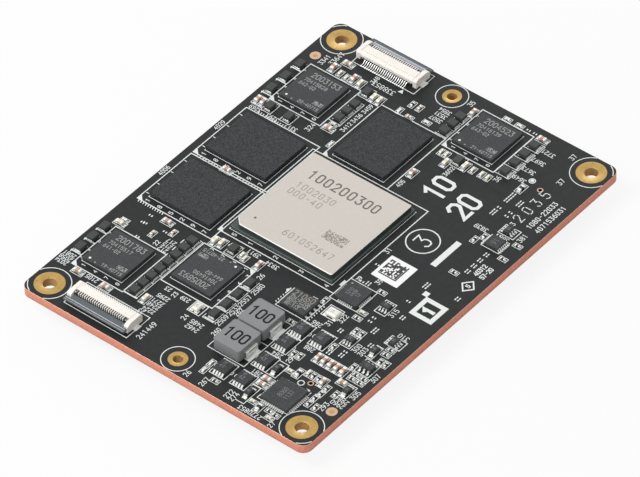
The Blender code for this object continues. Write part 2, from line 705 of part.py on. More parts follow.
def make_transistor(number, x, y, material):
    """Power transistor with a row of leads on its left and right walls."""
    bm = bmesh.new()
    full = rectangle(TRANSISTOR_LENGTH, TRANSISTOR_WIDTH)
    bevel = 2 * PACKAGE_EDGE_BEVEL
    top = rectangle(TRANSISTOR_LENGTH - bevel, TRANSISTOR_WIDTH - bevel)
    loft(bm, ((full, 0.0), (full, TRANSISTOR_HEIGHT - PACKAGE_EDGE_BEVEL), (top, TRANSISTOR_HEIGHT)))
    place = (x, y, BOARD_TOP + SOLDER_GAP)
    body = new_object(f"power_transistor_{number}", bm, material, place)
    leads = bmesh.new()
    edge = TRANSISTOR_LENGTH / 2
    for sign in (-1, 1):
        profile = [
            (sign * (edge - SINK), 0.0), (sign * (edge + TRANSISTOR_LEAD_REACH), 0.0),
            (sign * (edge + TRANSISTOR_LEAD_REACH), LEAD_THICKNESS), (sign * (edge + SINK), TRANSISTOR_HEIGHT / 2),
            (sign * (edge - SINK), TRANSISTOR_HEIGHT / 2),
        ]
        for lead in range(TRANSISTOR_LEADS):
            middle = (lead - (TRANSISTOR_LEADS - 1) / 2) * TRANSISTOR_LEAD_PITCH
            start = middle - TRANSISTOR_LEAD_WIDTH / 2
            bar(leads, profile, "y", start, start + TRANSISTOR_LEAD_WIDTH)
    combine(body, new_object(f"transistor_leads_{number}", leads, place=place), "UNION")


def interface_place():
    """Place of the interface chip, before the processor's front side."""
    y = PROCESSOR_Y - (PROCESSOR_SIDE + INTERFACE_SIDE) / 2 - INTERFACE_GAP
    return processor_place(INTERFACE_SHIFT, 0)[0], y


def make_flat_chip(name, length, width, pads, place, material):
    """Leadless chip: a thin moulded block with solder pads along its walls."""
    bm = bmesh.new()
    full = rectangle(length, width)
    top = rectangle(length - 2 * PACKAGE_EDGE_BEVEL, width - 2 * PACKAGE_EDGE_BEVEL)
    height = FLAT_CHIP_HEIGHT
    loft(bm, ((full, 0.0), (full, height - PACKAGE_EDGE_BEVEL), (top, height)))
    place = (*place, BOARD_TOP + SOLDER_GAP)
    chip = new_object(name, bm, material, place)
    strips = bmesh.new()
    depth = 2 * PAD_PROUD
    for number in range(pads):
        middle = (number - (pads - 1) / 2) * PAD_PITCH
        for sign in (-1, 1):
            across = rectangle(depth, PAD_WIDTH, sign * length / 2, middle)
            along = rectangle(PAD_WIDTH, depth, middle, sign * width / 2)
            prism(strips, across, SINK / 2, PAD_HEIGHT)
            prism(strips, along, SINK / 2, PAD_HEIGHT)
    if pads:
        combine(chip, new_object(f"{name}_pads", strips, place=place), "UNION")
    else:
        strips.free()


def make_crystal(material):
    """Timing crystal: a ceramic base with a metal lid on it."""
    bm = bmesh.new()
    full = rectangle(CRYSTAL_LENGTH, CRYSTAL_WIDTH)
    lid = rectangle(CRYSTAL_LENGTH - 2 * CRYSTAL_LID_INSET, CRYSTAL_WIDTH - 2 * CRYSTAL_LID_INSET)
    low = CRYSTAL_BASE_HEIGHT
    loft(bm, ((full, 0.0), (full, low), (lid, low), (lid, low + CRYSTAL_LID_HEIGHT)))
    place = (*placed(FRONT_LEFT, *CRYSTAL_PLACE), BOARD_TOP + SOLDER_GAP)
    new_object("crystal", bm, material, place)


def contact_places():
    """Places of a ribbon socket's contacts along its length."""
    return [(number - (RIBBON_CONTACTS - 1) / 2) * RIBBON_PITCH for number in range(RIBBON_CONTACTS)]


def arc(radius, start, end, steps):
    """Points on an arc about a pivot, between two angles in degrees."""
    turns = [math.radians(start + (end - start) * step / steps) for step in range(steps + 1)]
    return [(radius * math.cos(turn), radius * math.sin(turn)) for turn in turns]


def make_socket(name, place, turn, material):
    """Ribbon socket: floor, roof with a comb of contact slots, and two arms for the latch."""
    half = SOCKET_LENGTH / 2
    bm = bmesh.new()
    trunk = (
        (SOCKET_BACK, 0.0), (SOCKET_FRONT, 0.0), (SOCKET_FRONT, SOCKET_FLOOR),
        (SOCKET_SLOT_BACK, SOCKET_FLOOR), (SOCKET_SLOT_BACK, SOCKET_SLOT_TOP),
        (SOCKET_ROOF_FRONT, SOCKET_SLOT_TOP), (SOCKET_ROOF_FRONT, SOCKET_HEIGHT),
        (SOCKET_BACK, SOCKET_HEIGHT),
    )
    bar(bm, trunk, "y", SOCKET_ARM / 2 - half, half - SOCKET_ARM / 2)
    socket = new_object(name, bm, material, place, turn)

    arms = bmesh.new()
    nose = arc(SOCKET_NOSE_RADIUS, 0.0, 90.0, 4)
    arm = [(SOCKET_BACK, 0.0), (PIVOT_REACH + SOCKET_NOSE_RADIUS, 0.0)]
    arm += [(PIVOT_REACH + across, PIVOT_HEIGHT + rise) for across, rise in nose]
    arm += [
        (PIVOT_REACH - SOCKET_NOSE_STEP, PIVOT_HEIGHT + SOCKET_NOSE_RADIUS),
        (PIVOT_REACH - SOCKET_NOSE_STEP, SOCKET_HEIGHT), (SOCKET_BACK, SOCKET_HEIGHT),
    ]
    bar(arms, arm, "y", -half, SOCKET_ARM - half)
    bar(arms, arm, "y", half - SOCKET_ARM, half)
    combine(socket, new_object(f"{name}_arms", arms, place=place, turn=turn), "UNION")

    ribs = bmesh.new()
    tooth = RIBBON_PITCH - TOOTH_GAP
    for middle in contact_places():
        outline = rectangle(
            SOCKET_TEETH_FRONT - SOCKET_ROOF_FRONT + SINK, tooth,
            (SOCKET_TEETH_FRONT + SOCKET_ROOF_FRONT - SINK) / 2, middle + RIBBON_PITCH / 2,
        )
        prism(ribs, outline, SOCKET_TOOTH_BOTTOM, SOCKET_HEIGHT - CHIP_CAP_PROUD)
    combine(socket, new_object(f"{name}_teeth", ribs, place=place, turn=turn), "UNION")

    metal = bmesh.new()
    tail = (
        (0.0, 0.0), (TAIL_FOOT + SINK, 0.0), (SOCKET_BACK + SINK, TAIL_RISE - TAIL_THICKNESS),
        (SOCKET_BACK + SINK, TAIL_RISE), (TAIL_FOOT, TAIL_THICKNESS), (0.0, TAIL_THICKNESS),
    )
    for middle in contact_places():
        bar(metal, tail, "y", middle - TAIL_WIDTH / 2, middle + TAIL_WIDTH / 2)
    for sign in (-1, 1):
        reach = TAB_REACH + SINK
        outline = rectangle(
            TAB_LENGTH, reach, TAB_START + TAB_LENGTH / 2, sign * (half + TAB_REACH - reach / 2),
        )
        prism(metal, outline, 0.0, TAB_THICKNESS)
    combine(socket, new_object(f"{name}_metal", metal, place=place, turn=turn), "UNION")

    sockets = bmesh.new()
    depth = PIVOT_PIN_LENGTH - LATCH_SIDE_GAP + PIVOT_CLEARANCE
    bore = arc(PIVOT_PIN_RADIUS + PIVOT_CLEARANCE, 22.5, 337.5, 7)
    bore = [(PIVOT_REACH + across, PIVOT_HEIGHT + rise) for across, rise in bore]
    inner = half - SOCKET_ARM
    for sign in (-1, 1):
        bar(sockets, bore, "y", sign * (inner - SINK), sign * (inner + depth))
    combine(socket, new_object(f"{name}_bores", sockets, place=place, turn=turn), "DIFFERENCE")


def make_latch(name, place, turn, material):
    """Flip latch: a barrel and plate between the arms, wings before them and a pin each side."""
    inner = SOCKET_LENGTH / 2 - SOCKET_ARM - LATCH_SIDE_GAP
    front = (
        (LATCH_FRONT - LATCH_LIP_SLOPE, LATCH_LIP_BOTTOM), (LATCH_FRONT, LATCH_LIP_TOP),
        (LATCH_CREASE_REACH, LATCH_CREASE_HEIGHT),
    )
    bm = bmesh.new()
    plate = arc(LATCH_BARREL_RADIUS, 90.0, 270.0, 6) + list(front)
    bar(bm, plate, "y", -inner, inner)
    latch = new_object(name, bm, material, place, turn)
    extras = bmesh.new()
    wing = [(LATCH_WING_START, LATCH_LIP_BOTTOM + LATCH_STEP), *front[:2]]
    wing += [(LATCH_CREASE_REACH, LATCH_CREASE_HEIGHT - LATCH_STEP), (LATCH_WING_START, LATCH_CREASE_HEIGHT)]
    pin = arc(PIVOT_PIN_RADIUS, 22.5, 337.5, 7)
    for sign in (-1, 1):
        bar(extras, wing, "y", sign * (inner - LATCH_WING_ROOT), sign * SOCKET_LENGTH / 2)
        bar(extras, pin, "y", sign * (inner - SINK), sign * (inner + PIVOT_PIN_LENGTH))
    combine(latch, new_object(f"{name}_wings", extras, place=place, turn=turn), "UNION")


def make_ribbon_sockets(housing_finish, latch_finish):
    """One socket along each short edge, the left one turned round."""
    middle = BOARD_WIDTH / 2 - SCREW_INSET - SOCKET_SCREW_GAP - SOCKET_LENGTH / 2
    sides = (("right", 1, 0.0, SOCKET_EDGE_GAP_RIGHT), ("left", -1, math.pi, SOCKET_EDGE_GAP_LEFT))
    for name, sign, turn, edge_gap in sides:
        tails = BOARD_LENGTH / 2 - edge_gap
        level = BOARD_TOP + SOLDER_GAP
        make_socket(
            f"ribbon_socket_{name}", (sign * tails, middle, level), turn, housing_finish,
        )
        pivot = (sign * (tails + PIVOT_REACH), middle, level + PIVOT_HEIGHT)
        make_latch(f"ribbon_latch_{name}", pivot, turn, latch_finish)


def make_plug(material):
    """Board-to-board plug: a shroud open downwards round two long contact blades."""
    half_width = PLUG_WIDTH / 2
    chamfer = PLUG_CHAMFER
    top = PLUG_HEIGHT - SOLDER_GAP
    outline = [
        (-PLUG_LENGTH / 2, -half_width), (PLUG_LENGTH / 2, -half_width),
        (PLUG_LENGTH / 2, half_width - chamfer), (PLUG_LENGTH / 2 - chamfer, half_width),
        (chamfer - PLUG_LENGTH / 2, half_width), (-PLUG_LENGTH / 2, half_width - chamfer),
    ]
    bm = bmesh.new()
    prism(bm, outline, 0.0, top)
    place = (0.0, PLUG_FRONT_INSET - BOARD_WIDTH / 2, 0.0)
    plug = new_object("board_plug", bm, material, place)

    well_length = PLUG_LENGTH - 2 * PLUG_END
    well = bmesh.new()
    prism(well, rectangle(well_length, PLUG_WIDTH - 2 * PLUG_WALL), -CUT_MARGIN, top - PLUG_FLOOR)
    combine(plug, new_object("plug_well", well, place=place), "DIFFERENCE")

    blades = bmesh.new()
    for sign in (-1, 1):
        blade = rectangle(
            well_length - PLUG_KEY_LENGTH, PLUG_BLADE_THICKNESS, 0.0, sign * PLUG_BLADE_SPACING / 2,
        )
        tip = rectangle(
            well_length - PLUG_KEY_LENGTH, PLUG_BLADE_THICKNESS / 2, 0.0, sign * PLUG_BLADE_SPACING / 2,
        )
        shoulder = PLUG_BLADE_RECESS + PLUG_BLADE_THICKNESS / 2
        loft(blades, ((tip, PLUG_BLADE_RECESS), (blade, shoulder), (blade, top - PLUG_FLOOR + SINK)))
    combine(plug, new_object("plug_blades", blades, place=place), "UNION")

    keys = bmesh.new()
    for sign in (-1, 1):
        outline = rectangle(PLUG_KEY_LENGTH, PLUG_WIDTH / 3, sign * (PLUG_LENGTH / 2))
        prism(keys, outline, -CUT_MARGIN, PLUG_HEIGHT / 2)
    combine(plug, new_object("plug_keys", keys, place=place), "DIFFERENCE")


def build():
    """The whole module."""
    for item in list(bpy.data.objects):
        bpy.data.objects.remove(item, do_unlink=True)
    moulding = finish("moulding", (0.045, 0.048, 0.052), 0.55)
    make_board(finish("board", (0.045, 0.046, 0.047), 0.5))
    make_processor(
        finish("substrate", (0.03, 0.05, 0.045), 0.45),
        finish("lid", (0.62, 0.59, 0.56), 0.35, 0.6),
    )
    make_packages(finish("memory_moulding", (0.05, 0.053, 0.058), 0.65), moulding)
    coil_finish = finish("coil", (0.24, 0.245, 0.25), 0.5)
    for number in (1, 2):
        make_coil(number, coil_finish)
    make_chokes(finish("choke", (0.07, 0.078, 0.078), 0.6))
    for number, (x, y) in enumerate(transistor_places(), 1):
        make_transistor(number, x, y, moulding)
    controller_place = placed(FRONT_LEFT, *CONTROLLER_PLACE)
    make_flat_chip(
        "power_controller", CONTROLLER_SIDE, CONTROLLER_SIDE, CONTROLLER_PADS, controller_place, moulding,
    )
    make_flat_chip(
        "interface_chip", INTERFACE_SIDE, INTERFACE_SIDE, INTERFACE_PADS, interface_place(), moulding,
    )
    make_flat_chip("flash_chip", FLASH_LENGTH, FLASH_WIDTH, 0, placed(FRONT_LEFT, *FLASH_PLACE), moulding)
    make_crystal(finish("crystal", (0.7, 0.66, 0.6), 0.35, 0.5))
    make_ribbon_sockets(
        finish("socket_housing", (0.93, 0.89, 0.84), 0.45),
        finish("latch", (0.16, 0.17, 0.2), 0.4),
    )
    make_plug(finish("plug", (0.02, 0.02, 0.02), 0.5))


build()
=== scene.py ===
"""Looks of the system on module: finishes, print, small parts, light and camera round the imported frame.

Lengths are in millimetres here, from the middle of the board in X and Y and from the board's upper
face in Z, and become metres when a piece is made.
"""

import itertools
import math
import random

import bmesh
import bpy
from mathutils import Matrix, Vector


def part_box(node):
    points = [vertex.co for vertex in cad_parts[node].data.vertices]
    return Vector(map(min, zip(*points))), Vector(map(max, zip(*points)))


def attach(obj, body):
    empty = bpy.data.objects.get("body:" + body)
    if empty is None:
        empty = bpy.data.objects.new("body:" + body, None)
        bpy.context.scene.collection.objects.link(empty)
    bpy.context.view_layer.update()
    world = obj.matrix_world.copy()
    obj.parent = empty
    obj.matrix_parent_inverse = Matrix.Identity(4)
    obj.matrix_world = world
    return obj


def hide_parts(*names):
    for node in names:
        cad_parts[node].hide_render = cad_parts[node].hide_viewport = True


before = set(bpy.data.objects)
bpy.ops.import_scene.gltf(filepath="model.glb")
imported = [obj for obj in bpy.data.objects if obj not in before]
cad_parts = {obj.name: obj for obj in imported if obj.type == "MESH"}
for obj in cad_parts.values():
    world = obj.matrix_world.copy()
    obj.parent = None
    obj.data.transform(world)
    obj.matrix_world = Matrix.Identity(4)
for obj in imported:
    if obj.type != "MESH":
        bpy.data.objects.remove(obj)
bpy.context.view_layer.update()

MM = 0.001
BOARD_TOP = 5.3
BOARD_THICKNESS = 2.0
BOARD_CORNER_RADIUS = 2.0


def seat(node):
    """Middle and size of a node along X and Y, to a micrometre."""
    low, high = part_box(node)
    middle = [(first + last) / 2 for first, last in zip(low[:2], high[:2])]
    size = [last - first for first, last in zip(low[:2], high[:2])]
    return [round(value / MM, 3) for value in middle + size]


def top_of(node):
    """Height of a node's top above the board."""
    return round(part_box(node)[1][2] / MM - BOARD_TOP, 3)


BOARD_LENGTH, BOARD_WIDTH = seat("circuit_board")[2:]

# Heights: print, lands, the gaps under parts on solder and on balls, and the tops and feet of parts
PRINT_DEPTH = 0.02
LAND_THICKNESS = 0.04
SOLDER_GAP = 0.05
BALL_GAP = 0.25
CHIP_TOP = 0.8
MANAGER_TOP = top_of("power_manager_1")
LID_TOP = top_of("processor_lid")
LID_FOOT = LID_TOP - 1.0

# Lines of print and the steps between their heights; depth and rise of a mark on a part
PRINT_WIDTH = 0.17
PRINT_STEPS = itertools.cycle(range(16))
PRINT_STEP = 0.0006
MARK_SINK = 0.01
MARK_RISE = 0.006
LABEL_THICKNESS = 0.06

# View of the photograph
VIEW_AZIMUTH = 48.94
VIEW_ELEVATION = 43.715
VIEW_ROLL = -2.148
VIEW_TARGET = (-2.622, -1.56)
VIEW_DISTANCE = 1235.66
LENS = 365.6

# Colours as they look, in sRGB
MASK_GREY = (33, 34, 35)
COPPER_EDGE = (224, 139, 112)
# Painted highlight on the narrow chamfer between the board's faces and its edge
COPPER_PAINTED_HIGHLIGHT = (240, 186, 166)
COPPER_PALE = (208, 172, 148)
GOLD = (188, 153, 84)
GOLD_DARK = (204, 158, 96)
PRINT_WHITE = (236, 241, 238)
LABEL_WHITE = (252, 252, 252)
LID_NICKEL = (202, 195, 188)
# Painted reflection of the dark board on the lid's walls, and a painted highlight along their upper edge
LID_PAINTED_REFLECTION = (70, 74, 72)
LID_PAINTED_HIGHLIGHT = (240, 238, 234)
LID_MARK = (104, 98, 92)
LID_MARK_FAINT = (148, 141, 134)
SUBSTRATE_GREEN = (56, 68, 64)
# Painted reflection: light bands on the package laminate's edge
SUBSTRATE_PAINTED_REFLECTION = (176, 188, 182)
MEMORY_GREY = (33, 36, 38)
MOULDING_GREY = (57, 60, 61)
PACKAGE_MARK = (164, 164, 162)
PACKAGE_MARK_FAINT = (124, 127, 129)
COIL_GREY = (138, 140, 141)
COIL_MARK = (18, 20, 22)
CHOKE_GREY = (64, 67, 67)
TIN = (248, 247, 243)
SOLDER = (222, 224, 222)
TAN = (200, 158, 134)
CREAM = (234, 226, 192)
CERAMIC_WHITE = (236, 234, 228)
RESISTOR_BLACK = (38, 38, 40)
HOUSING_WHITE = (252, 245, 237)
LATCH_GREY = (156, 160, 170)
# Painted shade on the latches' dark bands, and a painted highlight along their ridges
LATCH_PAINTED_SHADE = (98, 103, 106)
LATCH_PAINTED_HIGHLIGHT = (226, 228, 232)
CONTACT_GREY = (148, 148, 146)
PLUG_BLACK = (30, 30, 31)
CRYSTAL_CREAM = (232, 226, 206)
CRYSTAL_LID = (232, 230, 224)
FLOOR_GREY = (238, 238, 238)
WHITE = (1.0, 1.0, 1.0, 1.0)

# Studio: light of the surroundings, the floor's shine to the camera, its reach and height in metres
SKY_LIGHT = 0.47
FLOOR_SHINE = 0.88
FLOOR_REACH = 3.0
FLOOR_HEIGHT = -0.0002


def linear(colour):
    """Linear colour of an sRGB one."""
    shares = (value / 255 for value in colour)
    return [share / 12.92 if share < 0.04045 else ((share + 0.055) / 1.055) ** 2.4 for share in shares]


def blend_colours(first, second, share):
    """Colour between two others."""
    return tuple(a + (b - a) * share for a, b in zip(first, second))


def feed(tree, socket, value):
    """Set a socket to a value, or link it to another socket."""
    if isinstance(value, bpy.types.NodeSocket):
        tree.links.new(value, socket)
    else:
        socket.default_value = value


def add_node(tree, kind, inputs=None, **settings):
    """Shader node with its settings and what its inputs are fed."""
    node = tree.nodes.new(f"ShaderNode{kind}")
    for name, value in settings.items():
        setattr(node, name, value)
    for name, value in (inputs or {}).items():
        feed(tree, node.inputs[name], value)
    return node


class Surface:
    """Procedural material: a shader with helpers that add its grain, colour variation and bump."""

    def __init__(self, name, colour, roughness, metallic=0.0, specular=0.5):
        self.material = bpy.data.materials.new(name)
        self.material.use_nodes = True
        self.tree = self.material.node_tree
        self.shader = self.tree.nodes["Principled BSDF"]
        self.colour = colour
        self.set("Base Color", (*linear(colour), 1.0))
        self.set("Roughness", roughness)
        self.set("Metallic", metallic)
        self.set("Specular IOR Level", specular)
        self.place = self.node("TexCoord").outputs["Object"]

    def node(self, kind, inputs=None, **settings):
        return add_node(self.tree, kind, inputs, **settings)

    def set(self, name, value):
        """Feed an input of the shader."""
        feed(self.tree, self.shader.inputs[name], value)
        return self

    def noise(self, size, detail=3.0, stretch=(1.0, 1.0, 1.0)):
        """Noise whose features are about so many millimetres wide."""
        scale = [1 / (size * MM * factor) for factor in stretch]
        scaled = self.node("Mapping", {"Vector": self.place, "Scale": scale}).outputs["Vector"]
        return self.node("TexNoise", {"Vector": scaled, "Scale": 1.0, "Detail": detail}).outputs["Fac"]

    def ramp(self, value, stops):
        """Colours along a value."""
        ramp = self.node("ValToRGB", {"Fac": value})
        for element, (position, colour) in zip(ramp.color_ramp.elements, (stops[0], stops[-1])):
            element.position = position
            element.color = (*linear(colour), 1.0)
        for position, colour in stops[1:-1]:
            ramp.color_ramp.elements.new(position).color = (*linear(colour), 1.0)
        return ramp.outputs["Color"]

    def spread(self, value, low, high, bottom=0.0, top=1.0):
        """Value between two limits, carried over to two others."""
        limits = {"Value": value, "From Min": low, "From Max": high, "To Min": bottom, "To Max": top}
        return self.node("MapRange", limits).outputs["Result"]

    def height(self, low, high):
        """Share of the way from one height above the board to another."""
        split = self.node("SeparateXYZ", {"Vector": self.place})
        return self.spread(split.outputs["Z"], (BOARD_TOP + low) * MM, (BOARD_TOP + high) * MM)

    def bands(self, stops):
        """Colours by height above the board."""
        low = stops[0][0]
        high = stops[-1][0]
        shares = [((height - low) / (high - low), colour) for height, colour in stops]
        return self.ramp(self.height(low, high), shares)

    def drift(self, size, amount, detail=3.0, stretch=(1.0, 1.0, 1.0)):
        """Base colour that drifts a little darker and lighter."""
        dark = blend_colours(self.colour, (0, 0, 0), amount)
        light = blend_colours(self.colour, (255, 255, 255), amount)
        return self.ramp(self.noise(size, detail, stretch), ((0.3, dark), (0.7, light)))

    def vary(self, *grain):
        return self.set("Base Color", self.drift(*grain))

    def relief(self, height, depth, strength=1.0):
        """Bump of so many millimetres."""
        bump = self.node("Bump", {"Strength": strength, "Distance": depth * MM, "Height": height})
        return self.set("Normal", bump.outputs["Normal"])

    def bump(self, size, depth, detail=2.0, stretch=(1.0, 1.0, 1.0)):
        return self.relief(self.noise(size, detail, stretch), depth)

    def scatter(self, weight, reach):
        """Light that soaks so many millimetres through the material."""
        self.set("Subsurface Weight", weight)
        self.set("Subsurface Radius", (1.0, 0.9, 0.8))
        return self.set("Subsurface Scale", reach * MM)

    def gloss(self, size, low, high):
        """Roughness that drifts between two values."""
        return self.set("Roughness", self.spread(self.noise(size), 0.3, 0.7, low, high))


def lid_surface():
    """Satin nickel whose walls carry a painted reflection of the dark board, under a painted highlight along
    the rim.
    """
    lid = Surface("satin_nickel", LID_NICKEL, 0.42, 0.35).bump(0.07, 0.004, 3.0).gloss(0.6, 0.36, 0.48)
    # Painted reflection and painted highlight: the walls are dark up to a bright band just under the top face
    wall = lid.bands(((LID_FOOT, LID_PAINTED_REFLECTION), (1.7, LID_PAINTED_REFLECTION), (1.78, LID_PAINTED_HIGHLIGHT), (LID_TOP, LID_PAINTED_HIGHLIGHT)))
    above = lid.height(LID_TOP - 0.01, LID_TOP - 0.005)
    mix = lid.node("Mix", {0: above, 6: wall, 7: lid.drift(0.35, 0.018, 4.0)}, data_type="RGBA")
    return lid.set("Base Color", mix.outputs[2]).material


def substrate_surface():
    """Dark laminate with a painted reflection, a light band, near each face."""
    laminate = Surface("package_laminate", SUBSTRATE_GREEN, 0.4).bump(0.2, 0.006)
    bands_with_painted_reflections = ((0.25, SUBSTRATE_PAINTED_REFLECTION), (0.34, SUBSTRATE_GREEN), (0.66, SUBSTRATE_GREEN),
              (0.72, SUBSTRATE_PAINTED_REFLECTION), (0.87, SUBSTRATE_GREEN))
    return laminate.set("Base Color", laminate.bands(bands_with_painted_reflections)).material


def mask_surface():
    """Matte solder mask: a faint weave of the glass cloth and the plane's copper under it."""
    mask = Surface("solder_mask", MASK_GREY, 0.55, specular=0.2).vary(1.3, 0.025, 4.0)
    weave = mask.node("TexChecker", {"Vector": mask.place, "Scale": 1 / (0.5 * MM)}).outputs["Fac"]
    total = mask.node("Math", {0: weave, 1: 0.25, 2: mask.noise(0.12, 2.0)}, operation="MULTIPLY_ADD")
    return mask.relief(total.outputs["Value"], 0.004, 0.5).material


def moulding_surface(name, colour, roughness=0.62, amount=0.07, size=0.2):
    """Moulding compound: fine filler grain under a matt skin."""
    surface = Surface(name, colour, roughness, specular=0.2)
    return surface.vary(size, amount, 2.0).bump(0.09, 0.012, 2.0).material


M = {
    "mask": mask_surface(),
    "edge": Surface("copper_edge", COPPER_EDGE, 0.42, 0.15).vary(0.5, 0.05, 4.0, (1.0, 1.0, 3.0))
    .bump(0.25, 0.01, 3.0, (1.0, 1.0, 6.0)).material,
    # Painted highlight on the board's edge chamfers
    "rim": Surface("copper_painted_highlight", COPPER_PAINTED_HIGHLIGHT, 0.35, 0.3).vary(0.8, 0.04).material,
    "pale_copper": Surface("bare_copper", COPPER_PALE, 0.4, 0.4).vary(0.3, 0.05).bump(0.1, 0.004).material,
    "gold": Surface("plated_gold", GOLD, 0.34, 0.6).vary(1.2, 0.05).bump(0.14, 0.006, 3.0)
    .gloss(0.5, 0.26, 0.42).material,
    "barrel": Surface("plated_hole", GOLD_DARK, 0.4, 0.35).vary(0.4, 0.08).material,
    "print": Surface("white_print", PRINT_WHITE, 0.6, specular=0.3).vary(0.3, 0.02)
    .bump(0.08, 0.004).material,
    "label": Surface("paper_label", LABEL_WHITE, 0.7, specular=0.3).vary(0.6, 0.01).bump(0.1, 0.005).material,
    "lid": lid_surface(),
    "lid_mark": Surface("laser_mark", LID_MARK, 0.65, 0.1).vary(0.12, 0.08).bump(0.05, 0.003).material,
    "lid_mark_faint": Surface("laser_mark_faint", LID_MARK_FAINT, 0.65, 0.1).vary(0.12, 0.06)
    .bump(0.05, 0.003).material,
    "memory": moulding_surface("memory_moulding", MEMORY_GREY, 0.66, 0.17, 0.26),
    "moulding": moulding_surface("package_moulding", MOULDING_GREY, 0.6, 0.08, 0.3),
    "package_mark": Surface("package_mark", PACKAGE_MARK, 0.7).vary(0.1, 0.12).bump(0.05, 0.003).material,
    "faint_mark": Surface("faint_package_mark", PACKAGE_MARK_FAINT, 0.7).vary(0.1, 0.1)
    .bump(0.05, 0.003).material,
    "coil": moulding_surface("coil_body", COIL_GREY, 0.5, 0.04),
    "coil_mark": moulding_surface("coil_engraving", COIL_MARK, 0.8, 0.05),
    "choke": moulding_surface("choke_body", CHOKE_GREY, 0.55, 0.05),
    "tin": Surface("tinned_metal", TIN, 0.3, 0.35).vary(0.25, 0.06).bump(0.12, 0.008, 3.0)
    .gloss(0.2, 0.2, 0.42).material,
    "solder": Surface("solder", SOLDER, 0.28, 0.45).vary(0.2, 0.08).bump(0.15, 0.012, 2.0).material,
    "tan": Surface("ceramic_tan", TAN, 0.45).vary(0.2, 0.05).bump(0.08, 0.005).material,
    "cream": Surface("ceramic_cream", CREAM, 0.45).vary(0.2, 0.04).bump(0.08, 0.005).material,
    "white": Surface("ceramic_white", CERAMIC_WHITE, 0.4).vary(0.2, 0.03).bump(0.08, 0.004).material,
    "resistor": Surface("resistor_glaze", RESISTOR_BLACK, 0.3).vary(0.3, 0.05).bump(0.2, 0.005).material,
    "housing": Surface("socket_housing", HOUSING_WHITE, 0.45, specular=0.4).vary(0.8, 0.012)
    .bump(0.1, 0.004, 2.0).scatter(0.3, 0.3).material,
    "latch": Surface("latch_moulding", LATCH_GREY, 0.24, specular=0.6).vary(0.5, 0.04)
    .bump(0.1, 0.005).material,
    # Painted shade for the latches' dark bands, painted highlight for their ridges
    "latch_painted_shade": Surface("latch_painted_shade_moulding", LATCH_PAINTED_SHADE, 0.6, specular=0.15)
    .vary(0.3, 0.06, 3.0, (1.0, 0.4, 1.0)).bump(0.1, 0.005).material,
    "latch_painted_highlight": Surface("latch_painted_highlight", LATCH_PAINTED_HIGHLIGHT, 0.3, specular=0.6).vary(0.4, 0.05).material,
    "contact": Surface("contact_spring", CONTACT_GREY, 0.3, 0.8).vary(0.2, 0.05).bump(0.1, 0.004).material,
    "plug": Surface("plug_moulding", PLUG_BLACK, 0.45).vary(0.4, 0.06).bump(0.1, 0.006).material,
    "crystal_base": Surface("crystal_base", CRYSTAL_CREAM, 0.45).vary(0.2, 0.04).bump(0.1, 0.005).material,
    "crystal_lid": Surface("crystal_lid", CRYSTAL_LID, 0.34, 0.6).vary(0.2, 0.04).bump(0.1, 0.005)
    .gloss(0.3, 0.28, 0.45).material,
    "substrate": substrate_surface(),
}


def rectangle(length, width, x=0.0, y=0.0):
    """Corners of a rectangle, turning left."""
    return [(x + sx * length / 2, y + sy * width / 2) for sx, sy in ((-1, -1), (1, -1), (1, 1), (-1, 1))]


def broken_rectangle(length, width, cut, x=0.0, y=0.0):
    """Rectangle with its four corners cut."""
    a = length / 2
    b = width / 2
    corners = ((-a + cut, -b), (a - cut, -b), (a, -b + cut), (a, b - cut), (a - cut, b), (-a + cut, b),
               (-a, b - cut), (-a, -b + cut))
    return [(x + px, y + py) for px, py in corners]


def rounded_rectangle(length, width, radius, steps=6, x=0.0, y=0.0):
    """Rectangle whose corners are arcs."""
    points = []
    for quarter, (sx, sy) in enumerate(((1, 1), (-1, 1), (-1, -1), (1, -1))):
        for step in range(steps + 1):
            turn = math.pi / 2 * (quarter + step / steps)
            points.append((x + sx * (length / 2 - radius) + radius * math.cos(turn),
                           y + sy * (width / 2 - radius) + radius * math.sin(turn)))
    return points


def circle(radius, x=0.0, y=0.0, steps=32):
    """Points round a circle."""
    return [(x + radius * math.cos(math.tau * n / steps), y + radius * math.sin(math.tau * n / steps))
            for n in range(steps)]


def arc_points(x, y, radius, start, end, steps=24):
    """Points along an arc between two angles in degrees."""
    turns = [math.radians(start + (end - start) * n / steps) for n in range(steps + 1)]
    return [(x + radius * math.cos(turn), y + radius * math.sin(turn)) for turn in turns]


def mirrored(profile, sign):
    """Profile whose offsets are kept or turned to the other side."""
    return [(sign * across, height) for across, height in profile]


